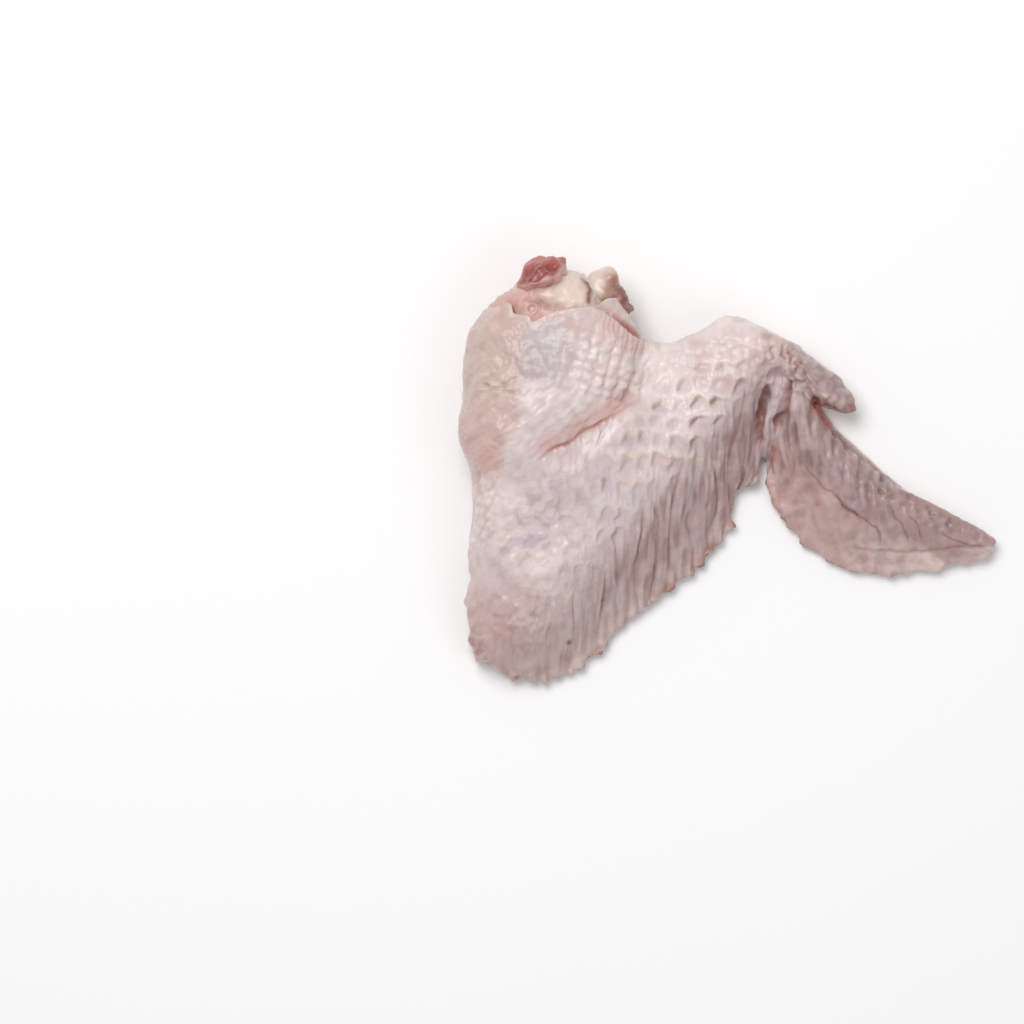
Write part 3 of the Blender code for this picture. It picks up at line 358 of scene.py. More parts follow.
# Where the outline is pushed a little, as centre, reach and push in plan
PUSHES = [
    ((5.0, -6.2), 2.6, (-2.2, 0.4)), ((25.0, 20.8), 3.2, (0.7, 0.8)), ((28.2, 17.2), 1.8, (0.7, 0.4)),
    ((28.9, 13.8), 1.4, (1.1, 0.2)), ((-61.6, -26.0), 2.0, (0.8, 0.0)),
    ((63.0, -17.4), 1.4, (0.3, -0.3)), ((62.4, -22.2), 2.2, (0.2, 1.5)),
]
THUMB_PEARLS = [(21.9, 17.6), (24.9, 16.4), (27.3, 15.3)]


def srgb(red, green, blue):
    """A colour seen on screen, 0 to 255, as the shader's linear values."""
    values = []
    for level in (red, green, blue):
        part = level / 255.0
        values.append(part / 12.92 if part <= 0.04045 else ((part + 0.055) / 1.055) ** 2.4)
    return tuple(values)


def colour_property(name, red, green, blue):
    """A colour setting of one tissue, given as seen on screen."""
    return FloatVectorProperty(name=name, description=f"{name} colour of the tissue", subtype="COLOR", size=3,
                               min=0.0, max=1.0, default=srgb(red, green, blue))


class WING_PG_skin(bpy.types.PropertyGroup):
    """Sizes and colours of the skin."""

    voxel: FloatProperty(name="Fineness", description="Size of the skin's faces, in millimetres",
                         default=0.4, min=0.3, max=2.0)
    cup_depth: FloatProperty(name="Cup depth", description="Depth of the feather cups, in millimetres",
                             default=0.85, min=0.0, max=3.0)
    rib_depth: FloatProperty(name="Rib depth", description="Depth between the flap's ribs, in millimetres",
                             default=1.25, min=0.0, max=3.0)
    pearl_height: FloatProperty(name="Pearl height", description="Height of the pearls, in millimetres",
                                default=0.74, min=0.0, max=2.0)
    pale: colour_property("Pale", 214, 196, 193)
    # Milky is the skin's pale colour. It also paints highlights on the cups and the wrist lobe, a highlight
    # streak on the flat, and light on the pleats and under the long fold.
    milky: colour_property("Milky", 236, 224, 220)
    blue: colour_property("Blue", 196, 184, 189)
    fat: colour_property("Fat", 224, 205, 193)
    rose: colour_property("Rose", 206, 168, 162)
    # Mauve is the skin's own tone, and also painted shade in the wrist's pit and along its folds.
    mauve: colour_property("Mauve", 168, 138, 136)
    beige: colour_property("Beige", 188, 161, 151)
    # Beige is the skin's own tone, and also part of the painted shade in the cups' crescents.
    lavender: colour_property("Lavender", 202, 185, 192)
    # Lavender is the skin's own tone, and also part of a painted highlight streak on the flat.
    pad: colour_property("Fat pad", 206, 180, 170)
    rust: colour_property("Rust", 166, 122, 110)
    # A dark tint: painted shade in the cups' crescents, in the wrist's pit, on the hand's lower layer and
    # between bumps, and a darker tone elsewhere.
    dusk: colour_property("Dusk", 138, 116, 112)
    # Crease: painted shade in folds, creases and grooves, and also a few small dark red dots, lines and
    # patches.
    crease: colour_property("Crease", 166, 112, 104)
    flesh: colour_property("Flesh", 168, 96, 86)
    vein: colour_property("Vein", 118, 78, 84)


class WING_PG_shoulder(bpy.types.PropertyGroup):
    """Sizes and colours of the cut end."""

    voxel: FloatProperty(name="Fineness", description="Size of the meat's faces, in millimetres",
                         default=0.4, min=0.3, max=2.0)
    meat: colour_property("Meat", 216, 184, 174)
    pink: colour_property("Pink meat", 203, 158, 150)
    fat: colour_property("Shoulder fat", 224, 206, 193)
    red: colour_property("Red muscle", 158, 78, 74)
    dark_red: colour_property("Dark red muscle", 130, 50, 50)
    rim: colour_property("Muscle rim", 186, 118, 110)
    # Fascia: the pale film on the cut tissue, and also a painted highlight on the rings of the meat.
    fascia: colour_property("Fascia", 226, 204, 196)
    # Painted shade on the lower right of the bone's knob.
    cartilage: colour_property("Cartilage", 224, 208, 194)
    bruise: colour_property("Cartilage shade", 168, 116, 102)
    # Marrow: the bone's marrow end, and also the colour of the painted shade on the meat.
    marrow: colour_property("Marrow", 138, 90, 82)


class WING_PG_stage(bpy.types.PropertyGroup):
    """The studio round the wing."""

    floor_side: FloatProperty(name="Floor side", description="Side of the pale floor", default=6.0,
                              unit="LENGTH", subtype="DISTANCE")
    frame_width: FloatProperty(name="Frame width", description="What the camera sees across at the wing",
                               default=0.2406, unit="LENGTH", subtype="DISTANCE")
    camera_height: FloatProperty(name="Camera height", description="Height of the camera over the floor",
                                 default=1.3, unit="LENGTH", subtype="DISTANCE")
    aim: FloatVectorProperty(name="Aim", description="The place in plan under the camera", size=2,
                             default=(-0.051, -0.0096), unit="LENGTH", subtype="XYZ")
    key_power: FloatProperty(name="Key power", description="Power of the large soft light", default=5.6,
                             min=0.0, unit="POWER", subtype="POWER")
    fill_power: FloatProperty(name="Fill power", description="Power of the fill light", default=1.0,
                              min=0.0, unit="POWER", subtype="POWER")
    sky: FloatProperty(name="Sky", description="Strength of the even light from all round", default=0.46,
                       min=0.0)


def smooth_step(low, high, value):
    """A soft step, from 0 at low to 1 at high."""
    part = np.clip((value - low) / (high - low), 0.0, 1.0)
    return part * part * (3.0 - 2.0 * part)


def wave_noise(points, size, seed, waves=9):
    """Smooth uneven values from about -1 to 1, from a few plane waves in seeded directions."""
    draw = np.random.default_rng(seed)
    total = np.zeros(len(points))
    for _ in range(waves):
        direction = draw.normal(size=points.shape[1])
        direction *= draw.uniform(0.6, 1.5) * 2.0 * math.pi / (size * np.linalg.norm(direction))
        total += np.sin(points @ direction + draw.uniform(0.0, 2.0 * math.pi))
    return total / math.sqrt(waves * 1.2)


def catmull_rom(rows, steps):
    """A smooth curve through rows of numbers, with the given steps between two rows."""
    rows = np.asarray(rows, dtype=float)
    padded = np.vstack([2 * rows[0] - rows[1], rows, 2 * rows[-1] - rows[-2]])
    out = []
    for index in range(len(rows) - 1):
        before, start, end, after = padded[index:index + 4]
        for step in range(steps):
            t = step / steps
            out.append(0.5 * (2 * start + (end - before) * t
                              + (2 * before - 5 * start + 4 * end - after) * t * t
                              + (3 * start - before - 3 * end + after) * t ** 3))
    out.append(rows[-1])
    return np.array(out)


def toothed(length):
    """How far the trailing edge stands out in small uneven teeth, from 0 to 1."""
    warped = length + 1.1 * np.sin(length * 0.41 + 0.6) + 0.7 * np.sin(length * 0.93)
    tooth = np.abs(np.sin(math.pi * warped / 4.9)) ** 0.7
    return tooth * (0.62 + 0.38 * np.sin(length * 0.57 + 1.0))


def inset(station, distance):
    """The station drawn in all round, as the meat lies under the skin."""
    lead, ridge, trail = (np.array(place) for place in (station.lead, station.ridge, station.trail))
    lead += (ridge - lead) * distance / np.linalg.norm(ridge - lead)
    trail += (ridge - trail) * distance / np.linalg.norm(ridge - trail)
    return Station(tuple(lead), tuple(ridge), tuple(trail), station.top - distance,
                   max(station.bottom, 0.0) + MEAT_LIFT * distance, station.edge)


def limb_rings(stations, lead, trail, teeth=0.0):
    """Rings of points round a limb: over it from the leading to the trailing edge, and back under it."""
    rows = [[*s.lead, *s.ridge, *s.trail, s.top, s.bottom, *s.edge] for s in stations]
    fine = catmull_rom(rows, STEPS_BETWEEN_STATIONS)
    angle = np.arange(RING_POINTS) * 2.0 * math.pi / RING_POINTS
    across = np.cos(angle)
    part = np.abs(across)
    over = np.sin(angle) >= 0.0
    leading = across >= 0.0
    run = np.concatenate([[0.0], np.cumsum(np.linalg.norm(np.diff(fine[:, 4:6], axis=0), axis=1))])

    def by_side(kind):
        return np.where(leading, getattr(lead, kind), getattr(trail, kind))

    crown = np.maximum(1.0 - part ** by_side("over_power"), 0.0) ** by_side("over_root")
    rounding = np.maximum(1.0 - part ** 8, 0.0) ** 0.5
    keel = np.maximum(1.0 - part ** by_side("under_power"), 0.0) ** by_side("under_root")
    rings = []
    for row, length in zip(fine, run):
        ridge = row[2:4]
        top, bottom, lead_z, trail_z = row[6:10]
        side = np.where(leading[:, None], row[0:2], row[4:6])
        edge_z = np.where(leading, lead_z, trail_z)
        width = np.linalg.norm(side - ridge, axis=1)
        out = part * (1.0 + np.where(leading, 0.0, (toothed(length) - 0.5) * teeth * part ** 5 / width))
        ring = np.zeros((RING_POINTS, 3))
        ring[:, :2] = ridge + (side - ridge) * out[:, None]
        rise = np.maximum((top - edge_z) * crown, by_side("thickness") * rounding)
        ring[:, 2] = np.where(over, edge_z + rise, edge_z - (edge_z - bottom) * keel)
        rings.append(ring)
    return rings


def mesh_object(name, verts, faces):
    """A mesh from points in millimetres and its faces."""
    mesh = bpy.data.meshes.new(name)
    mesh.from_pydata([tuple(v) for v in np.asarray(verts) * MM], [], faces)
    work = bmesh.new()
    work.from_mesh(mesh)
    bmesh.ops.recalc_face_normals(work, faces=work.faces)
    work.to_mesh(mesh)
    work.free()
    made = bpy.data.objects.new(name, mesh)
    bpy.context.scene.collection.objects.link(made)
    return made


def limb_object(name, stations, lead, trail, teeth=0.0):
    """A closed loft through a limb's stations."""
    rings = limb_rings(stations, lead, trail, teeth)
    faces = []
    for row in range(len(rings) - 1):
        for column in range(RING_POINTS):
            beside = (column + 1) % RING_POINTS
            faces.append((row * RING_POINTS + column, row * RING_POINTS + beside,
                          (row + 1) * RING_POINTS + beside, (row + 1) * RING_POINTS + column))
    faces.append(tuple(reversed(range(RING_POINTS))))
    last = (len(rings) - 1) * RING_POINTS
    faces.append(tuple(last + column for column in range(RING_POINTS)))
    return mesh_object(name, np.vstack(rings), faces)


def ball_object(name, centre, radius):
    """A ball at a place, of a radius in millimetres."""
    bpy.ops.mesh.primitive_uv_sphere_add(segments=32, ring_count=20, radius=radius * MM,
                                         location=[c * MM for c in centre])
    ball = bpy.context.object
    ball.name = name
    bpy.ops.object.transform_apply(location=True, rotation=False, scale=False)
    return ball


def tube_object(name, places, radius):
    """A round bar along a line of places, closed at both ends."""
    curve = bpy.data.curves.new(name, "CURVE")
    curve.dimensions = "3D"
    curve.bevel_depth = radius * MM
    curve.bevel_resolution = 4
    curve.use_fill_caps = True
    line = catmull_rom(places, 6)
    spline = curve.splines.new("POLY")
    spline.points.add(len(line) - 1)
    for point, place in zip(spline.points, line):
        point.co = (*(place * MM), 1.0)
    guide = bpy.data.objects.new(name, curve)
    bpy.context.scene.collection.objects.link(guide)
    graph = bpy.context.evaluated_depsgraph_get()
    mesh = bpy.data.meshes.new_from_object(guide.evaluated_get(graph))
    work = bmesh.new()
    work.from_mesh(mesh)
    bmesh.ops.remove_doubles(work, verts=work.verts, dist=0.01 * MM)
    bmesh.ops.recalc_face_normals(work, faces=work.faces)
    work.to_mesh(mesh)
    work.free()
    bpy.data.objects.remove(guide, do_unlink=True)
    made = bpy.data.objects.new(name, mesh)
    bpy.context.scene.collection.objects.link(made)
    return made


def apply_modifiers(target):
    """Replaces an object's mesh by its evaluated mesh."""
    graph = bpy.context.evaluated_depsgraph_get()
    mesh = bpy.data.meshes.new_from_object(target.evaluated_get(graph))
    target.modifiers.clear()
    target.data = mesh


def join_and_remesh(pieces, name, voxel, smoothing):
    """Fuses overlapping closed pieces into one body of even small faces, softened over a given length."""
    bpy.ops.object.select_all(action="DESELECT")
    for piece in pieces:
        piece.select_set(True)
    bpy.context.view_layer.objects.active = pieces[0]
    bpy.ops.object.join()
    body = bpy.context.object
    body.name = name
    remesh = body.modifiers.new("fuse", "REMESH")
    remesh.mode = "VOXEL"
    remesh.voxel_size = voxel * MM
    soften = body.modifiers.new("soften", "SMOOTH")
    soften.factor = 0.5
    soften.iterations = max(1, round((smoothing / voxel) ** 2))
    apply_modifiers(body)
    return body


def soften_along(target, line, width, length, voxel):
    """Smooths a mesh over a given length, only near a line in plan."""
    gap, _ = line_distance(read_points(target)[:, :2], line)
    group = target.vertex_groups.new(name="softened")
    for index, weight in enumerate(np.exp(-(gap / width) ** 2)):
        if weight > 0.02:
            group.add([index], float(weight), "REPLACE")
    soften = target.modifiers.new("soften", "SMOOTH")
    soften.factor = 0.5
    soften.iterations = max(1, round((length / voxel) ** 2))
    soften.vertex_group = group.name
    apply_modifiers(target)
    target.vertex_groups.clear()


def read_points(target):
    """The points of a mesh, in millimetres."""
    flat = np.empty(len(target.data.vertices) * 3, dtype=np.float32)
    target.data.vertices.foreach_get("co", flat)
    return flat.reshape(-1, 3).astype(float) / MM


def read_normals(target):
    """The normals of a mesh at its points."""
    flat = np.empty(len(target.data.vertices) * 3, dtype=np.float32)
    target.data.vertices.foreach_get("normal", flat)
    return flat.reshape(-1, 3).astype(float)


def write_points(target, points):
    """Sets the points of a mesh, given in millimetres."""
    target.data.vertices.foreach_set("co", (points * MM).astype(np.float32).ravel())
    target.data.update()


def store_layer(target, name, values):
    """Keeps a mask from 0 to 1 on the mesh's points, for the material to read."""
    layer = target.data.attributes.new(name, "FLOAT", "POINT")
    layer.data.foreach_set("value", np.clip(values, 0.0, 1.0).astype(np.float32))


def cut(target, cutter):
    """Takes the cutter's space out of a piece and removes the cutter."""
    taken = target.modifiers.new("cut", "BOOLEAN")
    taken.operation = "DIFFERENCE"
    taken.solver = "MANIFOLD"
    taken.object = cutter
    apply_modifiers(target)
    bpy.data.objects.remove(cutter, do_unlink=True)


def line_distance(plan, line):
    """The distance of each point to a line of points in plan, and how far along it the nearest place is."""
    line = np.asarray(line, dtype=float)
    best = np.full(len(plan), 1e9)
    along = np.zeros(len(plan))
    total = np.linalg.norm(np.diff(line, axis=0), axis=1).sum()
    done = 0.0
    for start, end in zip(line[:-1], line[1:]):
        run = end - start
        length = np.linalg.norm(run)
        t = np.clip(((plan - start) @ run) / length ** 2, 0.0, 1.0)
        gap = np.linalg.norm(plan - (start + t[:, None] * run), axis=1)
        nearer = gap < best
        best = np.where(nearer, gap, best)
        along = np.where(nearer, (done + t * length) / total, along)
        done += length
    return best, along


def beyond(plan, line, soft):
    """From 0 on the left of a line to 1 on its right, as it runs, with a soft step between."""
    line = np.asarray(line, dtype=float)
    best = np.full(len(plan), 1e9)
    signed = np.zeros(len(plan))
    for start, end in zip(line[:-1], line[1:]):
        run = end - start
        t = np.clip(((plan - start) @ run) / (run @ run), 0.0, 1.0)
        off = plan - (start + t[:, None] * run)
        gap = np.hypot(off[:, 0], off[:, 1])
        turn = off[:, 0] * run[1] - off[:, 1] * run[0]
        nearer = gap < best - 1e-9
        best = np.where(nearer, gap, best)
        signed = np.where(nearer, np.where(turn >= 0.0, gap, -gap), signed)
    return smooth_step(-soft, soft, signed)


def groove(plan, line, width):
    """A soft groove of unit depth along a line, fading out at its two ends."""
    gap, along = line_distance(plan, line)
    return np.exp(-(gap / width) ** 2) * smooth_step(-0.02, 0.15, along) * smooth_step(1.02, 0.85, along)


def soft_patch(plan, centre, reach, turn):
    """A soft oval patch, 1 in its middle and 0 well outside its reach."""
    angle = math.radians(turn)
    off = plan - np.array(centre)
    along = (off[:, 0] * math.cos(angle) + off[:, 1] * math.sin(angle)) / reach[0]
    across = (off[:, 1] * math.cos(angle) - off[:, 0] * math.sin(angle)) / reach[1]
    return smooth_step(1.35, 0.45, np.hypot(along, across))


def cell_pattern(a, b, seed, jitter=0.22):
    """Distance to the nearest of the jittered centres of unit cells, the offset from it, and a draw from
    0 to 1 for its cell."""
    cell_a = np.floor(a)
    cell_b = np.floor(b)
    best = np.full(len(a), 9.0)
    off_a = np.zeros(len(a))
    off_b = np.zeros(len(a))
    draw = np.zeros(len(a))
    for step_a in (-1, 0, 1):
        for step_b in (-1, 0, 1):
            ia = cell_a + step_a
            ib = cell_b + step_b
            wobble = np.sin(ia * 12.9898 + ib * 78.233 + seed) * 43758.5453
            turn = np.sin(ia * 39.346 + ib * 11.135 + seed) * 24634.6345
            wobble -= np.floor(wobble)
            turn -= np.floor(turn)
            da = a - (ia + 0.5 + jitter * (2.0 * wobble - 1.0))
            db = b - (ib + 0.5 + jitter * (2.0 * turn - 1.0))
            gap = np.hypot(da, db)
            nearer = gap < best
            best = np.where(nearer, gap, best)
            off_a = np.where(nearer, da, off_a)
            off_b = np.where(nearer, db, off_b)
            draw = np.where(nearer, (7.0 * wobble + 3.0 * turn) % 1.0, draw)
    return best, off_a, off_b, draw


def turned(plan, degrees):
    """Plan coordinates along and across a direction."""
    angle = math.radians(degrees)
    along = plan[:, 0] * math.cos(angle) + plan[:, 1] * math.sin(angle)
    across = plan[:, 1] * math.cos(angle) - plan[:, 0] * math.sin(angle)
    return along, across


def warped(plan, amount, size, seed):
    """Plan coordinates pushed about smoothly, so that what follows them is uneven."""
    push = np.column_stack([wave_noise(plan, size, seed), wave_noise(plan, size, seed + 1)])
    return plan + amount * push


def wrinkles(plan, degrees, length, width, seed):
    """Uneven fine ridges along a direction, from about -1 to 1."""
    along, across = turned(plan, degrees)
    return wave_noise(np.column_stack([along / length, across / width]), 2.0, seed, waves=18)


def bumps(plan, degrees, long, wide, seed, jitter=0.3):
    """Rounded bumps in uneven rows along a direction, from 0 between them to 1 on top."""
    along, across = turned(plan, degrees)
    gap, _, _, draw = cell_pattern(along / long, across / wide, seed, jitter)
    return np.clip(1.0 - (gap / 0.62) ** 2, 0.0, 1.0) * (0.55 + 0.45 * draw)


def inside(plan, outline, soft):
    """From 0 outside a closed outline in plan to 1 inside it, with a soft step between."""
    ring = [*outline, outline[0]]
    gap, _ = line_distance(plan, ring)
    x, y = plan.T
    within = np.zeros(len(plan), dtype=bool)
    for (ax, ay), (bx, by) in zip(ring[:-1], ring[1:]):
        if ay != by:
            within ^= ((ay > y) != (by > y)) & (x < (bx - ax) * (y - ay) / (by - ay) + ax)
    return smooth_step(-soft, soft, np.where(within, gap, -gap))


def near_line(plan, line, width):
    """From 1 on a line in plan to 0 well away from it."""
    return np.exp(-(line_distance(plan, line)[0] / width) ** 2)


def near_place(plan, centre, radius):
    """From 1 at a place in plan to 0 well away from it."""
    return np.exp(-(np.linalg.norm(plan - np.array(centre), axis=1) / radius) ** 2)


def at_whole(value, width):
    """From 1 where a value is whole to 0 between, as wide as given."""
    return np.exp(-(np.sin(math.pi * value) / width) ** 2)


def fade(layers, names, share):
    """Takes a share of some layers away."""
    for name in names:
        layers[name] *= 1.0 - share


def flat_grid(plan):
    """The columns and rows in which the feather cups of the flat stand."""
    x, y = plan.T
    lean = 0.04 + 0.26 * smooth_step(-6.0, 12.0, x)
    spread = 3.5 + 0.057 * (x + 30.0)
    sway = lean * (16.0 - y) + 0.6 * wave_noise(plan, 17.0, 5)
    column = np.log(np.maximum(spread, 1.5)) / 0.057 + sway / 4.4
    drop = np.maximum(3.3 + 0.079 * (28.0 - y), 2.0)
    row = -np.log(drop) / 0.079 + 0.12 * wave_noise(plan, 15.0, 6)
    return column, row


def skin_surface(points, normals, sizes):
    """How far each point of the skin is pushed out, in millimetres, and its layers of tint."""
    plan = points[:, :2]
    up = smooth_step(0.0, 0.35, normals[:, 2])
    past_wrist = beyond(plan, WRIST_LINE[::-1], 1.6)
    upper_wing = beyond(plan, UPPER_WING_EDGE, 0.8)
    between = (1.0 - past_wrist) * (1.0 - upper_wing)
    flat = beyond(plan, FLAT_LEADING, 4.0) * between
    web = (1.0 - flat) * between * smooth_step(-4.0, 8.0, plan[:, 1])
    parts = {"past_wrist": past_wrist, "upper_wing": upper_wing, "flat": flat, "web": web}
    layers = {name: np.zeros(len(points)) for name in SKIN_LAYERS}
    relief = np.zeros(len(points))
    for region in (flat_region, upper_wing_region, web_region, hand_region, wrist_region):
        relief += region(plan, up, parts, sizes, layers)

    # Soft lumps all over, fine wrinkles, and low follicle bumps underneath
    relief += 0.3 * wave_noise(points, 11.0, 8)
    relief += 0.08 * wave_noise(points, 3.4, 70, waves=18) + 0.03 * wave_noise(points, 1.6, 71, waves=20)
    under = smooth_step(0.1, -0.4, normals[:, 2])
    relief += under * 0.9 * (bumps(plan, 22.0, 4.6, 4.2, 2.9) - 0.4)
    lay_patches(points, up, under, layers)
    return relief, layers


def lay_patches(points, up, under, layers):
    """Adds the soft patches, the small dots and the wandering tints of the whole skin."""
    plan = points[:, :2]
    wandering = warped(warped(plan, 1.6, 13.0, 81), 0.5, 3.5, 83)
    for layer, patches in SKIN_PATCHES.items():
        for centre, reach, turn, weight in patches:
            layers[layer] += weight * soft_patch(wandering, centre, reach, turn) * (0.75 + 0.25 * up)
    for layer, dots in SKIN_DOTS.items():
        for centre, radius, weight in dots:
            layers[layer] += weight * near_place(plan, centre, radius) * up
    layers["rose"] += 0.18 * smooth_step(0.1, 1.4, wave_noise(points, 6.5, 91)) + 0.35 * under
    layers["lavender"] += 0.22 * smooth_step(0.1, 1.4, wave_noise(points, 8.0, 92))
    layers["fat"] += 0.2 * smooth_step(0.2, 1.4, wave_noise(points, 4.5, 93))


def flat_region(plan, up, parts, sizes, layers):
    """The flat: feather cups, which end in long ribs towards the trailing edge, and calmer skin."""
    flap = beyond(plan, CUPS_END, 4.5)
    calm = soft_patch(plan, *CALM_SKIN)
    cupped = parts["flat"] * (1.0 - flap)
    relief = feather_cups(plan, cupped * up, calm, sizes, layers)
    relief += bumps_below_fold(plan, (1.0 - parts["upper_wing"]) * up, layers)
    relief += wrist_tiles(plan, (1.0 - parts["past_wrist"]) * up, layers)
    relief += flap_ribs(plan, parts["flat"] * up, flap, sizes, layers)
    relief += calm_skin(plan, calm * up, layers)
    relief += leading_scales(plan, up, layers)
    relief += elbow_skin(plan, up * (1.0 - 0.6 * flap), layers)
    layers["rose"] += cupped * 0.2 * smooth_step(0.0, 1.2, wave_noise(plan, 8.0, 44))
    return relief


def unevenness(plan):
    """How much deeper or shallower than usual the cups and ribs are."""
    return 1.0 + 0.35 * wave_noise(plan, 14.0, 3)


def feather_cups(plan, cupped, calm, sizes, layers):
    """Cups in columns and rows: a bowl deepest at its top, an arched rim over it, a short shaded crescent at
    its top left, and low crests between the columns and the rows. The crescent's dark tints are painted
    shade, and the milky tint on each cup's lower side is a painted highlight."""
    x, y = plan.T
    column, row = flat_grid(plan)
    faint = 0.45 + 0.55 * soft_patch(plan, *FAINT_CUPS)
    faint *= (1.0 - 0.85 * calm) * (1.0 - 0.6 * smooth_step(19.0, 28.0, y))
    cups = cupped * faint
    frayed = column + 0.05 * wave_noise(plan, 3.6, 42)
    _, off_a, off_b, draw = cell_pattern(frayed, row + 0.04 * wave_noise(plan, 4.0, 43), 1.7, jitter=0.1)
    reach = ((np.abs(off_a + 0.12 * off_b) / 0.45) ** 2.3 + (np.abs(off_b) / 0.53) ** 2.3) ** (1.0 / 2.3)
    bowl = np.clip(1.0 - reach ** 2, 0.0, 1.0)
    arch = np.exp(-((reach - 1.02) / 0.3) ** 2) * smooth_step(-0.3, 0.5, off_b - 0.45 * off_a)
    crescent = np.exp(-((off_a + 0.25 - 0.5 * (off_b - 0.16)) / 0.1) ** 2 - ((off_b - 0.16) / 0.26) ** 2)
    marked = crescent * smooth_step(0.2, 0.7, draw)
    stronger = 1.0 + 0.5 * smooth_step(-20.0, -6.0, x)
    depth = stronger * sizes.cup_depth * unevenness(plan) * (0.6 + 0.5 * draw)
    relief = cups * depth * (0.32 * arch - bowl * (0.36 + 0.8 * off_b - 0.5 * off_a) - 0.42 * marked)

    patchy = 0.5 + 0.5 * np.clip(wave_noise(plan, 6.0, 41), -1.0, 1.0)
    level = at_whole(row + 0.16 * np.cos(2.0 * math.pi * frayed), 0.36)
    upright = at_whole(frayed, 0.4) * (0.25 + 0.6 * smooth_step(6.0, -8.0, y))
    crests = np.maximum(upright, level * (0.35 + 0.65 * patchy))
    speckle = smooth_step(0.4, 1.4, wrinkles(plan, 84.0, 1.8, 0.9, 47))
    relief += cupped * (0.24 * (0.3 + 0.7 * faint) * (1.0 - 0.7 * calm) * crests + 0.12 * speckle)

    layers["fat"] += cups * (0.5 * level * patchy + arch * (0.3 + 0.5 * patchy))
    # On each cup's lower side the milky tint is a painted highlight; on the crests and specks it is their
    # pale colour.
    layers["milky"] += cups * (0.35 * level + 0.45 * smooth_step(0.1, -0.45, off_b)) + cupped * 0.3 * speckle
    layers["blue"] += cups * (0.06 + bowl * (0.3 + 0.5 * draw))
    # Painted shade: the crescent at each cup's top left, darkened in three tints.
    layers["crease"] += cups * 0.5 * marked
    layers["beige"] += cups * 0.4 * crescent
    layers["dusk"] += cups * 0.36 * marked
    return relief


def bumps_below_fold(plan, here, layers):
    """Low upright bumps on the skin just below the long fold."""
    beneath = soft_patch(plan, *BELOW_FOLD) * here
    upright = bumps(warped(plan, 0.4, 5.0, 45), 86.0, 4.4, 2.1, 5.9, jitter=0.35)
    # The milky tint is the bumps' pale colour, and also painted light on this shaded slope under the fold.
    layers["milky"] += beneath * 0.6 * upright
    layers["blue"] += beneath * 0.35 * (1.0 - upright)
    layers["rose"] += beneath * 0.25 * (1.0 - upright)
    return beneath * (0.7 * (upright - 0.35) + 0.14 * wrinkles(plan, 86.0, 3.0, 0.7, 46))


def wrist_tiles(plan, here, layers):
    """Small low tiles towards the wrist and over the web."""
    tiled = soft_patch(plan, *WRIST_TILES) * here
    tiles = bumps(warped(plan, 0.35, 5.0, 48), 84.0, 2.9, 2.5, 7.9, jitter=0.25)
    layers["fat"] += tiled * 0.3 * smooth_step(0.5, 0.9, tiles)
    layers["rose"] += tiled * 0.3 * (1.0 - tiles)
    layers["beige"] += tiled * 0.2 * (1.0 - tiles)
    return tiled * 0.42 * (tiles - 0.35)


def flap_ribs(plan, flat, flap, sizes, layers):
    """Ribs: long rounded tubes that run down the flap, fade and split, streaked finely along their length."""
    x, y = plan.T
    column, _ = flat_grid(plan)
    tall = np.column_stack([x, y / 4.0])
    wander = column + 0.2 * wave_noise(tall, 8.0, 52)
    across = np.abs(np.cos(math.pi * wander))
    halved = np.abs(np.sin(math.pi * wander + 0.6 * wave_noise(tall, 7.0, 53)))
    strong = smooth_step(-0.6, 1.0, wave_noise(tall, 4.5, 54))
    steady = (0.65 + 0.35 * smooth_step(-46.0, -24.0, y)) * smooth_step(-56.0, -45.0, x)
    ribs = flat * flap * steady * (1.0 - smooth_step(14.0, 24.0, y))
    seam = np.exp(-(across / 0.26) ** 2)
    split = np.exp(-(halved / 0.3) ** 2) * smooth_step(0.3, -0.6, wave_noise(tall, 5.0, 59))
    fine = wrinkles(plan, 88.0, 4.5, 0.7, 51)
    streaks = wrinkles(plan, 88.0, 6.0, 1.2, 56)
    tube = 0.5 * (across ** 0.8 - 0.65) - (0.04 + 0.34 * strong) * seam
    relief = ribs * (unevenness(plan) * sizes.rib_depth * tube + 0.15 * fine - 0.28 * split)
    relief += flat * 0.05 * wrinkles(plan, 87.0, 3.0, 0.55, 55)

    towards_wrist = 0.1 * smooth_step(-22.0, -10.0, x) + 0.04 * smooth_step(-4.0, 4.0, x)
    near_edge = near_line(plan, FLAT_EDGE, 2.4) * smooth_step(-58.0, -40.0, x)
    # Painted shade in the grooves between the ribs and in their splits.
    layers["crease"] += ribs * (np.exp(-(across / 0.2) ** 2) * (0.05 + 0.7 * strong) + 0.35 * split)
    layers["mauve"] += ribs * (0.25 + 0.6 * smooth_step(-0.2, 1.0, streaks))
    layers["fat"] += ribs * 0.85 * smooth_step(0.0, 1.1, -streaks)
    layers["dusk"] += ribs * (towards_wrist + 0.3 * smooth_step(0.4, 1.5, fine))
    layers["blue"] += ribs * 0.5 * smooth_step(0.3, 1.3, wave_noise(plan, 7.0, 57))
    layers["rust"] += near_edge * 0.7 * smooth_step(-0.1, 0.9, wave_noise(plan, 8.0, 60))
    return relief


def calm_skin(plan, calm, layers):
    """Small dots on the calm skin of the flat."""
    dots = bumps(plan, 35.0, 3.6, 3.4, 5.3, jitter=0.35)
    layers["dusk"] += calm * 0.3 * smooth_step(0.3, 0.02, dots)
    layers["fat"] += calm * 0.3 * smooth_step(0.62, 0.9, dots)
    return calm * (0.24 * smooth_step(0.62, 0.92, dots) + 0.05 * wrinkles(plan, 35.0, 4.0, 0.9, 61))


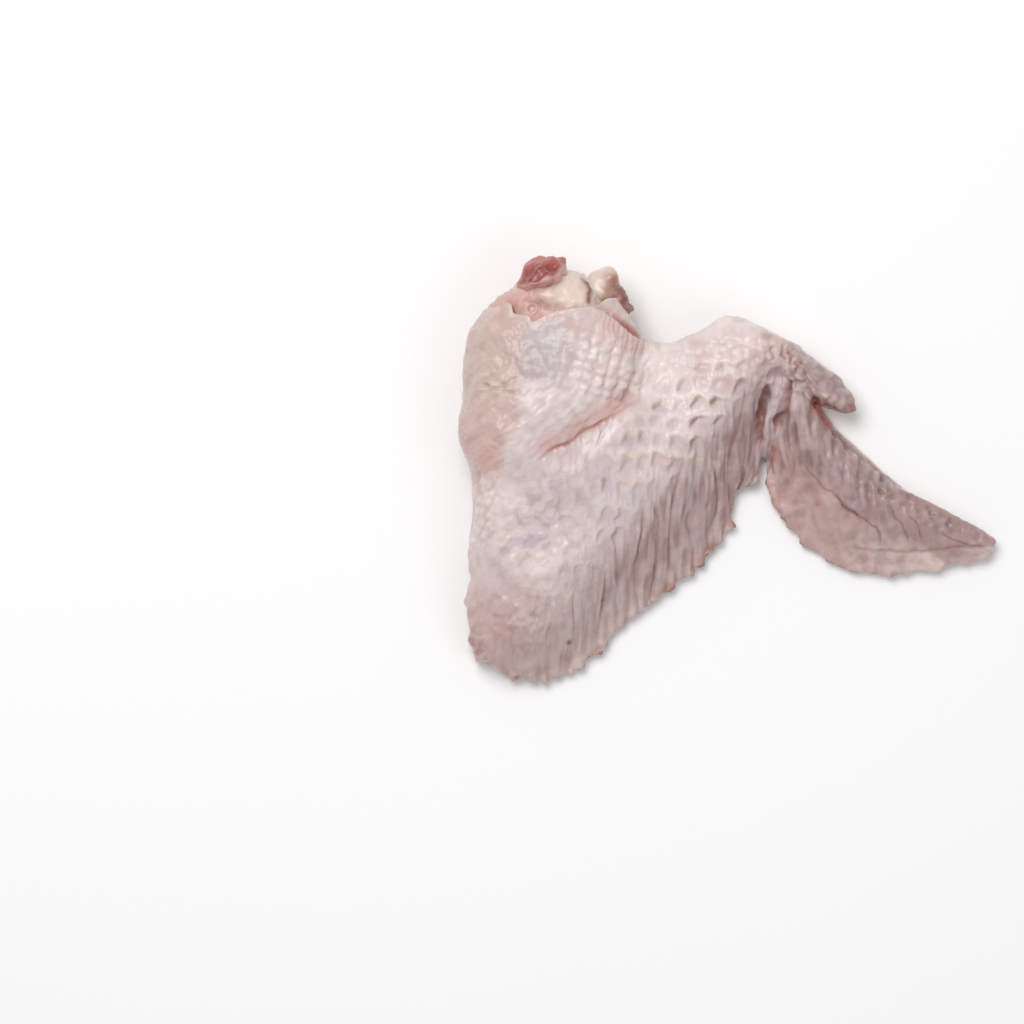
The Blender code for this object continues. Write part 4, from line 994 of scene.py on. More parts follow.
def leading_scales(plan, up, layers):
    """Small scales along the leading edge of the flat."""
    scaled = soft_patch(plan, *LEADING_SCALES) * up
    scales = bumps(plan, 62.0, 2.2, 1.35, 6.1)
    layers["milky"] += scaled * 0.8 * scales
    layers["rose"] += scaled * 0.4 * (1.0 - scales)
    return scaled * 0.34 * (scales - 0.4)


def elbow_skin(plan, here, layers):
    """Grains and blotches over the elbow, redder along its torn edge."""
    elbow = soft_patch(plan, *ELBOW) * here
    grains = bumps(plan, 15.0, 1.7, 1.5, 6.7, jitter=0.4)
    blotches = wave_noise(warped(plan, 0.8, 3.0, 64), 5.5, 62, waves=14)
    torn = near_line(plan, FLAT_EDGE, 2.0) * smooth_step(-0.4, 1.0, wave_noise(plan, 3.4, 65))
    layers["mauve"] += elbow * (0.26 + 0.5 * smooth_step(0.0, 1.3, blotches))
    layers["fat"] += elbow * 0.45 * smooth_step(0.3, 1.5, wrinkles(plan, 80.0, 2.6, 1.0, 63))
    layers["flesh"] += elbow * 0.55 * torn
    return elbow * (0.07 * grains + 0.14 * wrinkles(plan, 60.0, 2.6, 0.9, 58) + 0.15 * blotches)


def upper_wing_region(plan, up, parts, sizes, layers):
    """The upper wing: pearls, pores, a blue patch, pleats, the fat pad, the cut edge and the long fold."""
    upper_wing = parts["upper_wing"] * up
    loose = warped(plan, 0.3, 6.0, 101)
    lined = upper_wing * inside(warped(plan, 1.6, 6.0, 106), BLUE_PATCH, 6.0)
    relief = pearls(plan, loose, upper_wing * (1.0 - 0.8 * lined), sizes, layers)
    relief += drawn_pores(plan, loose, upper_wing * (1.0 - 0.8 * lined), layers)
    relief += blue_patch(plan, lined, layers)
    relief += upper_wing * (1.0 - lined) * 0.07 * wrinkles(plan, 44.0, 2.6, 0.8, 102)
    relief += pleats(plan, loose, upper_wing, layers)
    relief += fat_pad(plan, upper_wing, up, layers)
    relief += cut_edge(plan, upper_wing, up, layers)
    relief += long_fold(plan, up, layers)
    return relief


def pearls(plan, loose, here, sizes, layers):
    """Pearls in leaning columns, with red between the columns towards the trailing side."""
    pearled = here * soft_patch(plan, *PEARLED)
    column = (loose[:, 0] - 0.26 * loose[:, 1]) / 2.9
    row = (loose[:, 1] + 0.22 * loose[:, 0]) / 2.5
    gap, _, _, draw = cell_pattern(column, row, 4.1, jitter=0.14)
    pearl = np.clip(1.0 - (gap / 0.52) ** 2, 0.0, 1.0) ** 0.8 * (0.45 + 0.55 * draw)
    red = pearled * smooth_step(-36.0, -24.0, plan[:, 0]) * at_whole(column, 0.4)
    layers["milky"] += pearled * (0.3 + 0.9 * pearl)
    layers["rose"] += pearled * 0.15 * (1.0 - pearl) + 0.5 * red
    layers["crease"] += 0.12 * red
    return pearled * sizes.pearl_height * (pearl - 0.25) - 0.22 * red


def drawn_pores(plan, loose, here, layers):
    """Low pores drawn out along the limb."""
    streaked = here * soft_patch(plan, *DRAWN_PORES)
    pores = bumps(loose, 40.0, 3.4, 2.3, 4.7, jitter=0.3)
    layers["milky"] += streaked * 0.6 * pores
    layers["rose"] += streaked * 0.12 * (1.0 - pores)
    return streaked * 0.2 * (pores - 0.35)


def blue_patch(plan, lined, layers):
    """The grey blue patch, finely lined and darker towards its foot."""
    lining = wrinkles(plan, 176.0, 5.0, 0.7, 103)
    darker = 0.06 * smooth_step(0.0, 1.2, lining) + 0.24 * smooth_step(30.0, 21.0, plan[:, 1])
    layers["blue"] += lined * 0.6
    layers["dusk"] += lined * (0.18 + darker)
    return lined * 0.03 * lining


def pleats(plan, loose, upper_wing, layers):
    """Fine upright pleats above the pearls."""
    pleated = upper_wing * soft_patch(plan, *PLEATED)
    pleat = np.cos(2.0 * math.pi * (loose[:, 0] - 0.1 * loose[:, 1]) / 1.2)
    layers["rose"] += pleated * 0.35 * smooth_step(0.0, -1.0, pleat)
    # Painted light: the milky tint is raised over the pleats to lighten their slope, which faces away from
    # the light.
    layers["milky"] += pleated * (0.75 + 0.25 * smooth_step(0.1, 0.9, pleat))
    return pleated * 0.08 * pleat


def fat_pad(plan, upper_wing, up, layers):
    """The lumpy pad of fat on the leading side, with a row of pale knots across it."""
    y = plan[:, 1]
    pad = upper_wing * beyond(warped(plan, 0.7, 5.0, 104), FAT_PAD_EDGE, 1.6)
    lumps = bumps(warped(plan, 0.6, 4.0, 107), 20.0, 2.9, 2.6, 4.9, jitter=0.42)
    relief = pad * (0.3 + 0.28 * wave_noise(plan, 6.0, 12) + 0.14 * (lumps - 0.4))
    relief += pad * 0.08 * wave_noise(plan, 1.9, 13, waves=18)
    creamy = 0.3 * smooth_step(0.3, 1.3, wave_noise(plan, 5.0, 14)) + 0.1 * smooth_step(14.0, 30.0, y)
    rosy = 0.5 * smooth_step(0.2, 1.3, wave_noise(plan, 4.0, 16)) + 0.5 * smooth_step(18.0, 4.0, y)
    layers["pad"] += pad * 0.75
    layers["dusk"] += pad * (0.06 + 0.1 * (1.0 - lumps) * smooth_step(8.0, 20.0, y))
    layers["milky"] += pad * 0.5 * smooth_step(0.75, 0.95, lumps)
    layers["fat"] += pad * creamy
    layers["rose"] += pad * rosy

    knotted = groove(plan, KNOTS, 1.8) * up
    knots = wrinkles(plan, 5.0, 2.0, 0.8, 17)
    layers["fat"] += knotted * 0.8 * smooth_step(-0.5, 0.8, knots)
    # Painted shade on the low sides of the knots.
    layers["crease"] += knotted * 0.25 * smooth_step(-0.3, -1.2, knots)
    return relief + knotted * 0.6 * knots


def cut_edge(plan, upper_wing, up, layers):
    """The pale fold turned back along the cut, and the thin cream edge of the skin."""
    x = plan[:, 0]
    over_fold = (1.0 - beyond(plan, FOLD_BACK, 0.3)) * upper_wing * smooth_step(-34.0, -31.0, x)
    turned_back = groove(plan, FOLD_BACK, 0.5) * up
    rim = near_line(plan, SKIN_BORDER, 0.8) * up
    fade(layers, ("milky", "rose", "pad", "blue"), 0.8 * over_fold)
    # Painted shade along the turned-back fold.
    layers["crease"] += turned_back * (0.25 + 0.75 * smooth_step(-29.0, -25.0, x))
    layers["pad"] += 0.55 * over_fold
    layers["fat"] += 0.35 * over_fold + 0.55 * rim
    layers["flesh"] += 0.8 * groove(plan, FOLD_BACK, 0.45) * up * smooth_step(-27.5, -24.0, x)
    return 0.35 * over_fold - 0.6 * turned_back + 0.25 * rim


def long_fold(plan, up, layers):
    """The long fold between the upper wing and the flat: painted shade and red in its middle, pink on its
    upper side.
    """
    x = plan[:, 0]
    middle = smooth_step(-46.0, -40.0, x) * smooth_step(-25.0, -31.0, x)
    fold = groove(warped(plan, 0.15, 9.0, 105), FOLD_LINE, 0.42) * up
    above = groove(plan, [(a - 0.9, b + 1.4) for a, b in FOLD_LINE], 2.0) * up
    # Painted shade along the fold, darker in its middle part, which is also tinted red.
    layers["crease"] += (0.4 + 0.2 * middle) * fold
    layers["flesh"] += 0.6 * middle * fold
    layers["rose"] += 0.9 * above
    return -FOLD_DEPTH * fold * (0.04 + 0.3 * middle)


def web_region(plan, up, parts, sizes, layers):
    """The web between the upper wing and the flat: low bumps in upright rows."""
    web = parts["web"] * up
    low_bumps = bumps(warped(plan, 0.4, 5.0, 111), 82.0, 3.5, 2.5, 7.3)
    layers["fat"] += web * 0.3 * smooth_step(0.5, 0.9, low_bumps)
    layers["milky"] += web * (0.25 + 0.3 * low_bumps)
    return web * (0.7 * sizes.pearl_height * (low_bumps - 0.35) + 0.07 * wrinkles(plan, 80.0, 2.2, 0.8, 112))


def hand_region(plan, up, parts, sizes, layers):
    """The hand: streaks, dimples, a pale crest, a lip along its edge, veins, and the thumb."""
    past_wrist = parts["past_wrist"] * up
    hand = past_wrist * smooth_step(17.5, 13.5, plan[:, 1])
    relief = hand_streaks(plan, hand, layers)
    relief += hand_dimples(plan, hand, layers)
    relief += hand_crest(plan, past_wrist, layers)
    relief += hand_lip(plan, hand, up, layers)
    relief += hand_veins(plan, hand, layers)
    relief += thumb_skin(plan, past_wrist, up, layers)
    return relief


def hand_streaks(plan, hand, layers):
    """Streaks down from the root of the hand, and blotches over its web."""
    ribbed = 1.0 - beyond(warped(plan, 0.8, 8.0, 121), HAND_RIB_END, 4.0)
    ribbed *= 0.35 + 0.65 * smooth_step(48.0, 30.0, plan[:, 0])
    streaks = wrinkles(plan, 92.0, 5.0, 1.25, 122)
    fine = wrinkles(plan, 95.0, 4.0, 0.6, 123)
    layers["milky"] += hand * ribbed * 0.85 * smooth_step(0.0, 1.2, streaks + 0.3 * fine)
    layers["dusk"] += hand * ribbed * (0.16 + 0.65 * smooth_step(0.0, -1.3, streaks + 0.4 * fine))
    layers["dusk"] += hand * 0.22 * smooth_step(0.0, 1.4, wave_noise(plan, 4.0, 124))
    layers["dusk"] += hand * 0.25 * smooth_step(0.2, 1.3, wrinkles(plan, 100.0, 4.0, 1.1, 143))
    layers["rose"] += hand * (0.25 + 0.5 * smooth_step(0.0, 1.4, wave_noise(plan, 6.0, 134)))
    layers["rust"] += hand * 0.25 * smooth_step(0.2, 1.4, wave_noise(plan, 4.5, 144))
    layers["mauve"] += hand * (0.3 + 0.5 * smooth_step(-0.3, 1.2, wave_noise(plan, 5.0, 138)))
    layers["fat"] += hand * 0.3 * smooth_step(0.3, 1.4, wrinkles(plan, 105.0, 5.0, 1.6, 142))
    return hand * (ribbed * (0.32 * streaks + 0.12 * fine) + 0.07 * wrinkles(plan, 60.0, 2.0, 0.8, 133))


def hand_dimples(plan, hand, layers):
    """Small dark dimples near the leading edge of the hand."""
    dimpled = hand * near_line(plan, DIMPLE_LINE, 2.1)
    dimples = bumps(plan, -28.0, 2.3, 1.9, 8.3, jitter=0.4)
    sunk = dimpled * smooth_step(0.35, 0.85, dimples)
    layers["dusk"] += 0.9 * sunk
    layers["fat"] += dimpled * 0.5 * smooth_step(0.25, 0.0, dimples)
    return -0.45 * sunk


def hand_crest(plan, past_wrist, layers):
    """The pale crest in which the hand's top layer ends, the lower layer outside it, darkened in its own
    brown and in painted shade, and its red root.
    """
    x, y = plan.T
    crest = groove(plan, HAND_CREST, 0.4) * past_wrist
    near = smooth_step(4.5, 3.0, line_distance(plan, HAND_CREST)[0]) * smooth_step(15.5, 13.0, y)
    lower = (1.0 - beyond(plan, HAND_CREST, 0.35)) * near * past_wrist
    layers["fat"] += 0.9 * crest
    # The lower layer's darker brown: its own colour, deepened with painted shade below the crest of the top
    # layer.
    layers["dusk"] += 0.5 * lower
    layers["flesh"] += 1.2 * groove(plan, RED_FLESH, 1.5)
    return 0.4 * crest - 0.9 * lower * smooth_step(42.0, 37.0, x)


def hand_lip(plan, hand, up, layers):
    """The lip along the trailing edge of the hand, which turns cream towards the tip."""
    x = plan[:, 0]
    lip = groove(warped(plan, 0.3, 6.0, 125), HAND_LIP, 0.42) * up
    below_lip = beyond(plan, HAND_LIP, 0.8) * smooth_step(24.0, 32.0, x) * hand
    pale_end = below_lip * smooth_step(34.0, 50.0, x)
    lines = wrinkles(plan, -62.0, 4.0, 0.7, 126)
    ridged = sum(groove(plan, ridge, 0.4) for ridge in LIP_RIDGES) * up
    fade(layers, ("mauve", "dusk", "rose", "rust"), 0.9 * pale_end)
    # Painted shade in the groove of the lip.
    layers["crease"] += 0.4 * lip
    layers["fat"] += 0.1 * below_lip + 0.7 * pale_end
    layers["milky"] += 0.4 * pale_end * smooth_step(-0.2, 0.8, lines) + 0.5 * ridged
    layers["rose"] += 0.3 * below_lip * smooth_step(0.2, 1.4, lines)
    return 0.1 * below_lip * lines + 0.25 * ridged - 0.3 * lip


def hand_veins(plan, hand, layers):
    """Fine dark veins over the web of the hand, and its rusty edge."""
    wandering = warped(plan, 0.25, 5.0, 127)
    lines = sum(groove(wandering, catmull_rom(vein, 5), 0.26) for vein in VEINS) * hand
    layers["vein"] += 0.7 * lines
    rusty = near_line(plan, HAND_EDGE, 1.3) * smooth_step(0.0, 1.0, wave_noise(plan, 5.0, 135))
    layers["rust"] += 0.5 * rusty * hand
    return -0.08 * lines


def thumb_skin(plan, past_wrist, up, layers):
    """The thumb, mottled, with a brown tip and pearls along its lower edge."""
    x, y = plan.T
    thumb = past_wrist * smooth_step(13.5, 16.5, y + 0.5 * (x - 20.0))
    mottles = bumps(warped(plan, 0.4, 3.0, 136), -38.0, 2.1, 1.6, 8.9, jitter=0.42)
    gap, along = line_distance(plan, THUMB_PEARLS)
    beads = np.exp(-(gap / 0.75) ** 2) * np.abs(np.sin((along + 0.02) * math.pi * 2.9)) ** 0.7 * up
    layers["dusk"] += thumb * 0.6 * (1.0 - mottles)
    layers["mauve"] += thumb * 0.05
    layers["fat"] += thumb * 0.3 * mottles
    layers["rust"] += 0.6 * soft_patch(plan, *THUMB_TIP)
    fade(layers, ("rose", "mauve", "dusk", "rust"), 0.85 * beads)
    layers["fat"] += beads
    return thumb * (0.16 * wrinkles(plan, -40.0, 2.6, 0.8, 128) + 0.36 * (mottles - 0.4)) + 0.6 * beads


def wrist_region(plan, up, parts, sizes, layers):
    """The wrist: small crumpled lumps over a pit, and two deep folds with a streaked lobe between them. The
    pit, the folds and the creases are darkened with painted shade, and the lobe's lines carry painted
    highlights.
    """
    crumpled = soft_patch(plan, *CRUMPLED) * up
    lumps = bumps(warped(plan, 0.9, 4.0, 131), 70.0, 4.2, 2.5, 9.1, jitter=0.42)
    pit = soft_patch(plan, *WRIST_PIT) * up
    relief = crumpled * (0.45 * (lumps - 0.35) + 0.22 * wave_noise(plan, 3.4, 61, waves=16)) - 0.35 * pit
    # Painted shade between the lumps and in the pit.
    layers["dusk"] += crumpled * 0.25 * (1.0 - lumps) + 0.25 * pit
    layers["rose"] += crumpled * 0.3 + 0.7 * groove(plan, WRIST_BLUSH, 0.9) * up
    layers["milky"] += crumpled * 0.5 * smooth_step(0.4, 0.9, lumps)
    # Painted shade in the pit, in mauve.
    layers["mauve"] += 0.7 * pit

    lobe = soft_patch(plan, *LOBE) * up
    lobe_lines = wrinkles(plan, 84.0, 3.4, 0.8, 140)
    relief += lobe * (0.22 * wave_noise(plan, 3.4, 139, waves=14) + 0.18 * lobe_lines)
    relief += 0.45 * groove(plan, LOBE_LINE, 1.9) * up
    fade(layers, ("dusk", "mauve", "crease"), 0.55 * lobe)
    layers["lavender"] += lobe * 0.5
    # Painted highlights along the lobe's lines.
    layers["milky"] += lobe * (0.2 + 0.5 * smooth_step(0.0, 1.2, lobe_lines))

    # The folds and the creases are sunk and darkened with painted shade.
    wandering = warped(plan, 0.3, 5.0, 141)
    for fold in WRIST_FOLDS:
        relief -= up * 1.7 * groove(wandering, fold, 0.6)
        layers["crease"] += up * groove(wandering, fold, 0.55)
        layers["mauve"] += up * 0.25 * groove(plan, fold, 1.8)
    wandering = warped(plan, 0.3, 4.0, 137)
    for crease in WRIST_CREASES:
        relief -= up * 0.75 * groove(wandering, crease, 0.5)
        layers["crease"] += up * 0.6 * groove(wandering, crease, 0.45)
    return relief


def valley_fill(points):
    """How far the skin is lifted at the foot of the upper wing, where it leans on the flat."""
    gap, along = line_distance(points[:, :2], FOOT_LINE)
    ends = smooth_step(0.0, 0.3, along) * smooth_step(1.0, 0.7, along)
    return FOOT_SHARE * ends * np.exp(-(gap / FOOT_REACH) ** 2) * np.maximum(FOOT_HEIGHT - points[:, 2], 0.0)


def ragged_edge(points, normals):
    """How far the thin trailing edges of the flat and the hand stand out in sharp, uneven points."""
    plan = points[:, :2]
    sideways = smooth_step(0.85, 0.35, np.abs(normals[:, 2]))
    limit = 5.0 + 3.5 * smooth_step(-38.0, -48.0, plan[:, 0])
    thin = sideways * smooth_step(limit, limit - 2.0, points[:, 2])
    reach = np.zeros(len(points))
    for line, teeth, size in ((FLAT_EDGE, FLAT_TEETH, 1.0), (HAND_EDGE, HAND_TEETH, 0.7)):
        gap, along = line_distance(plan, line)
        length = along * np.linalg.norm(np.diff(np.array(line), axis=0), axis=1).sum()
        tallest = np.zeros(len(points))
        for place, height in teeth:
            away = np.linalg.norm(plan - np.array(place), axis=1)
            tallest = np.maximum(tallest, height * np.clip(1.0 - away / TOOTH_REACH, 0.0, 1.0) ** 1.5)
        fray = np.abs(((length + 0.5 * np.sin(length * 0.83)) / 1.9) % 1.0 - 0.5)
        reach += smooth_step(3.0, 1.4, gap) * thin * (TOOTH_SCALE * tallest + size * (0.5 * fray - 0.35))
    return reach


def tissue_material(name, base, layers, roughness=0.4, coat=0.2, scatter=0.16, grain=0.3):
    """A moist, slightly see-through tissue: its base colour, layers of tint laid on by masks, mottling,
    a fine grain and a wet film."""
    made = bpy.data.materials.new(name)
    made.use_nodes = True
    nodes = made.node_tree.nodes
    links = made.node_tree.links
    shader = nodes["Principled BSDF"]
    place = nodes.new("ShaderNodeTexCoord")

    def noise(scale, detail, rough=0.5):
        made_noise = nodes.new("ShaderNodeTexNoise")
        made_noise.inputs["Scale"].default_value = scale
        made_noise.inputs["Detail"].default_value = detail
        made_noise.inputs["Roughness"].default_value = rough
        links.new(place.outputs["Object"], made_noise.inputs["Vector"])
        return made_noise.outputs["Fac"]

    def spread(value, low, high):
        made_range = nodes.new("ShaderNodeMapRange")
        made_range.inputs["From Min"].default_value = 0.3
        made_range.inputs["From Max"].default_value = 0.7
        made_range.inputs["To Min"].default_value = low
        made_range.inputs["To Max"].default_value = high
        links.new(value, made_range.inputs["Value"])
        return made_range.outputs["Result"]

    def times(first, second):
        made_product = nodes.new("ShaderNodeMath")
        made_product.operation = "MULTIPLY"
        links.new(first, made_product.inputs[0])
        links.new(second, made_product.inputs[1])
        return made_product.outputs["Value"]

    def lay_over(below, colour, amount):
        made_mix = nodes.new("ShaderNodeMix")
        made_mix.data_type = "RGBA"
        made_mix.inputs["B"].default_value = (*colour, 1.0)
        if hasattr(below, "is_linked"):
            links.new(below, made_mix.inputs["A"])
        else:
            made_mix.inputs["A"].default_value = (*below, 1.0)
        links.new(amount, made_mix.inputs["Factor"])
        return made_mix.outputs["Result"]

    mottle = spread(noise(230.0, 3.0), 0.72, 1.12)
    colour = lay_over(base, tuple(0.86 * part for part in base), spread(noise(420.0, 4.0), 0.0, 1.0))
    for layer, tint in layers:
        mask = nodes.new("ShaderNodeAttribute")
        mask.attribute_name = layer
        colour = lay_over(colour, tint, times(mask.outputs["Fac"], mottle))
    links.new(colour, shader.inputs["Base Color"])
    links.new(spread(noise(600.0, 3.0), roughness - 0.08, roughness + 0.12), shader.inputs["Roughness"])
    shader.inputs["Metallic"].default_value = 0.0
    shader.inputs["IOR"].default_value = 1.4
    shader.inputs["Subsurface Weight"].default_value = scatter
    shader.inputs["Subsurface Radius"].default_value = (1.0, 0.42, 0.3)
    shader.inputs["Subsurface Scale"].default_value = 0.0022
    shader.inputs["Coat Weight"].default_value = coat
    shader.inputs["Coat Roughness"].default_value = 0.18
    bump = nodes.new("ShaderNodeBump")
    bump.inputs["Strength"].default_value = grain
    bump.inputs["Distance"].default_value = 0.00025
    links.new(noise(1500.0, 3.0, 0.6), bump.inputs["Height"])
    links.new(bump.outputs["Normal"], shader.inputs["Normal"])
    return made


def finish_piece(target, material):
    """Gives a piece its one material and smooth shading."""
    count = len(target.data.polygons)
    target.data.materials.clear()
    target.data.materials.append(material)
    target.data.polygons.foreach_set("material_index", np.zeros(count, dtype=np.int32))
    target.data.polygons.foreach_set("use_smooth", np.ones(count, dtype=bool))


def carry_layers(target, places, layers):
    """Stores layers worked out at the given places on a mesh that a cut has changed since."""
    tree = KDTree(len(places))
    for index, place in enumerate(places):
        tree.insert(place, index)
    tree.balance()
    points = read_points(target)
    nearest = np.array([tree.find(point)[1] for point in points])
    for name, values in layers.items():
        store_layer(target, name, values[nearest])


def thin_out(target, chosen, kept):
    """Merges faces among the chosen points until the given share of all faces is left."""
    group = target.vertex_groups.new(name="thinned")
    group.add([int(index) for index in np.nonzero(chosen)[0]], 1.0, "REPLACE")
    fewer = target.modifiers.new("fewer", "DECIMATE")
    fewer.ratio = kept
    fewer.vertex_group = group.name
    fewer.vertex_group_factor = 2.0
    apply_modifiers(target)
    target.vertex_groups.clear()


def grown_copy(source, distance):
    """A copy of a piece, grown all round by a distance."""
    made = source.copy()
    made.data = source.data.copy()
    bpy.context.scene.collection.objects.link(made)
    write_points(made, read_points(made) + read_normals(made) * distance)
    return made


def border_cutter():
    """The space past the skin's end at the shoulder cut, as an upright prism."""
    line = catmull_rom(SKIN_BORDER, 8)
    outline = [*line, np.array([line[-1][0], CUTTER_END]), np.array([line[0][0], CUTTER_END])]
    count = len(outline)
    verts = [(p[0], p[1], height) for height in (CUTTER_BOTTOM, CUTTER_TOP) for p in outline]
    faces = [tuple(reversed(range(count))), tuple(range(count, 2 * count))]
    for index in range(count):
        beside = (index + 1) % count
        faces.append((index, beside, count + beside, count + index))
    return mesh_object("border_cutter", verts, faces)


def make_meat_form(voxel):
    """The plain form of the meat, as it lies under the skin."""
    under_skin = [inset(station, UNDER_SKIN) for station in UPPER_WING[1:6]]
    stations = MEAT_CUT_END + under_skin + [MEAT_ELBOW_END]
    return join_and_remesh([limb_object("meat", stations, PLUMP, PLUMP)], "shoulder_meat", voxel, 1.6)


def make_skin(sizes):
    """The whole skin, from the shoulder cut to the tip of the hand."""
    voxel = sizes.voxel
    limbs = [
        limb_object("upper_wing", UPPER_WING, PLUMP, PLUMP),
        limb_object("elbow_fill", ELBOW_FILL, ROUND, ROUND),
        limb_object("flat", FLAT, ROUND, FLAP, teeth=LOFT_TEETH),
        limb_object("web", WEB, SHEET, ROUND),
        limb_object("hand", HAND, ROUND, THIN, teeth=LOFT_TEETH),
        limb_object("under_layer", UNDER_LAYER, ROUND, ROUND),
        limb_object("thumb", THUMB, ROUND, ROUND),
        limb_object("wrist_lobe", WRIST_LOBE, PLUMP, PLUMP),
        limb_object("cut_edge_roll", CUT_EDGE_ROLL, ROUND, ROUND),
    ]
    body = join_and_remesh(limbs, "wing_skin", voxel, 1.85)
    soften_along(body, VALLEY_LINE, 3.0, 4.0, voxel)
    points = read_points(body)
    normals = read_normals(body)
    relief, layers = skin_surface(points, normals, sizes)
    outward = normals.copy()
    outward[:, 2] = 0.0
    points += normals * relief[:, None] + outward * ragged_edge(points, normals)[:, None]
    points[:, 2] += valley_fill(points) * smooth_step(0.0, 0.35, normals[:, 2])
    for centre, reach, push in PUSHES:
        near = near_place(points[:, :2], centre, reach)
        points[:, :2] += near[:, None] * np.array(push)
    points[:, 2] = np.maximum(points[:, 2], 0.0)
    write_points(body, points)

    cut(body, border_cutter())
    meat = make_meat_form(0.8)
    cut(body, grown_copy(meat, PIECE_GAP))
    bpy.data.objects.remove(meat, do_unlink=True)
    thin_out(body, read_normals(body)[:, 2] < -0.25, KEPT_OF_SKIN)
    carry_layers(body, points, layers)
    tints = [(name, tuple(getattr(sizes, name))) for name in SKIN_LAYERS]
    finish = tissue_material("chicken_skin", tuple(sizes.pale), tints, coat=0.3, scatter=0.12, grain=0.5)
    finish_piece(body, finish)
    return body


def make_meat(sizes):
    """The pale meat of the upper wing, with its fat and its ringed pink lobe at the cut. The rings carry a
    painted highlight, and painted shade lies beside the bone's knob and under the red muscle.
    """
    body = make_meat_form(sizes.voxel)
    points = read_points(body)
    normals = read_normals(body)
    plan = points[:, :2]
    cut_end = smooth_step(33.0, 36.0, points[:, 1])
    fat = soft_patch(warped(plan, 0.6, 4.0, 201), (-36.5, 42.5), (8.0, 6.5), 0.0)
    grain = wrinkles(plan, 62.0, 2.6, 0.7, 202)
    around = np.hypot(plan[:, 0] - RING_CENTRE[0], 1.3 * (plan[:, 1] - RING_CENTRE[1]))
    to_right = smooth_step(0.0, 1.0, plan[:, 0] - RING_CENTRE[0])
    rings = np.cos(2.0 * math.pi * around / 1.25) * np.exp(-(around / (1.8 + 1.6 * to_right)) ** 2)
    fleck = smooth_step(0.5, 1.5, wave_noise(plan, 2.2, 204, waves=16))
    relief = cut_end * (0.5 * wave_noise(points, 8.0, 21) + 0.12 * wave_noise(points, 2.4, 22, waves=16)
                        + 0.05 * wave_noise(points, 1.3, 23, waves=20) + 0.06 * grain + 0.25 * rings)
    write_points(body, points + normals * relief[:, None])
    store_layer(body, "pink", 0.9 * soft_patch(warped(plan, 0.5, 4.0, 203), (-47.0, 37.8), (6.0, 4.2), 8.0)
                + 0.5 * soft_patch(plan, (-53.5, 38.5), (5.0, 3.0), 35.0) + 0.35 * fleck * cut_end
                + 0.6 * soft_patch(warped(plan, 0.5, 3.0, 205), (-38.6, 44.0), (2.4, 1.6), 40.0))
    store_layer(body, "fat", fat)
    # On the rings' crests the fascia tint is a painted glossy highlight; on the grain it is the pale film.
    store_layer(body, "fascia", cut_end * (0.5 * smooth_step(0.5, 1.6, grain)
                                           + 0.4 * np.clip(rings, 0.0, 1.0)))
    # Painted shade, in the marrow colour, beside the bone's knob and along the lower edge of the red muscle.
    store_layer(body, "shade", groove(plan, [(-35.2, 45.5), (-33.0, 42.0), (-33.6, 38.0)], 0.7)
                + 0.5 * groove(plan, [(-48.0, 41.8), (-42.0, 42.6), (-38.5, 45.0)], 0.8))
    tints = [("pink", tuple(sizes.pink)), ("fat", tuple(sizes.fat)), ("fascia", tuple(sizes.fascia)),
             ("shade", tuple(sizes.marrow))]
    finish_piece(body, tissue_material("pale_meat", tuple(sizes.meat), tints, coat=0.3))
    return body


def make_red_muscle(sizes):
    """The cut red muscle: a hollowed dark red face inside a pink rim, with a pale strip under it."""
    body = join_and_remesh([limb_object("muscle", RED_MUSCLE, ROUND, ROUND)], "cut_muscle", sizes.voxel, 0.7)
    points = read_points(body)
    normals = read_normals(body)
    plan = points[:, :2]
    up = smooth_step(0.0, 0.35, normals[:, 2])
    frayed = warped(plan, 0.25, 3.5, 211)
    face = inside(frayed, MUSCLE_FACE, 0.5) * up
    fibres = wrinkles(plan, 35.0, 2.4, 0.45, 33)
    lines = sum(groove(frayed, line, 0.16) for line in MUSCLE_LINES) * face
    strip = groove(frayed, MUSCLE_STRIP, 0.5) * up
    below = beyond(frayed, MUSCLE_STRIP, 0.4)
    relief = 0.4 * wave_noise(points, 4.5, 34) - 0.7 * face + 0.08 * fibres + 0.15 * lines + 0.3 * strip
    relief -= 0.6 * below * up
    write_points(body, points + normals * relief[:, None])
    store_layer(body, "rim", (1.0 - face) * (0.8 + 0.2 * smooth_step(-1.0, 1.0, fibres)) + 0.3 * face
                * smooth_step(0.5, 1.4, wrinkles(plan, 55.0, 3.0, 0.6, 36)))
    store_layer(body, "dark_red", face * smooth_step(-0.2, 1.2, fibres + 0.5 * wave_noise(points, 5.0, 35)))
    store_layer(body, "meat", below * 0.45)
    store_layer(body, "fascia", 0.35 * strip + 0.15 * lines + face * 0.1 * smooth_step(0.8, 1.6, -fibres))
    tints = [("rim", tuple(sizes.rim)), ("dark_red", tuple(sizes.dark_red)), ("meat", tuple(sizes.meat)),
             ("fascia", tuple(sizes.fascia))]
    finish_piece(body, tissue_material("red_meat", tuple(sizes.red), tints, coat=0.3))
    return body


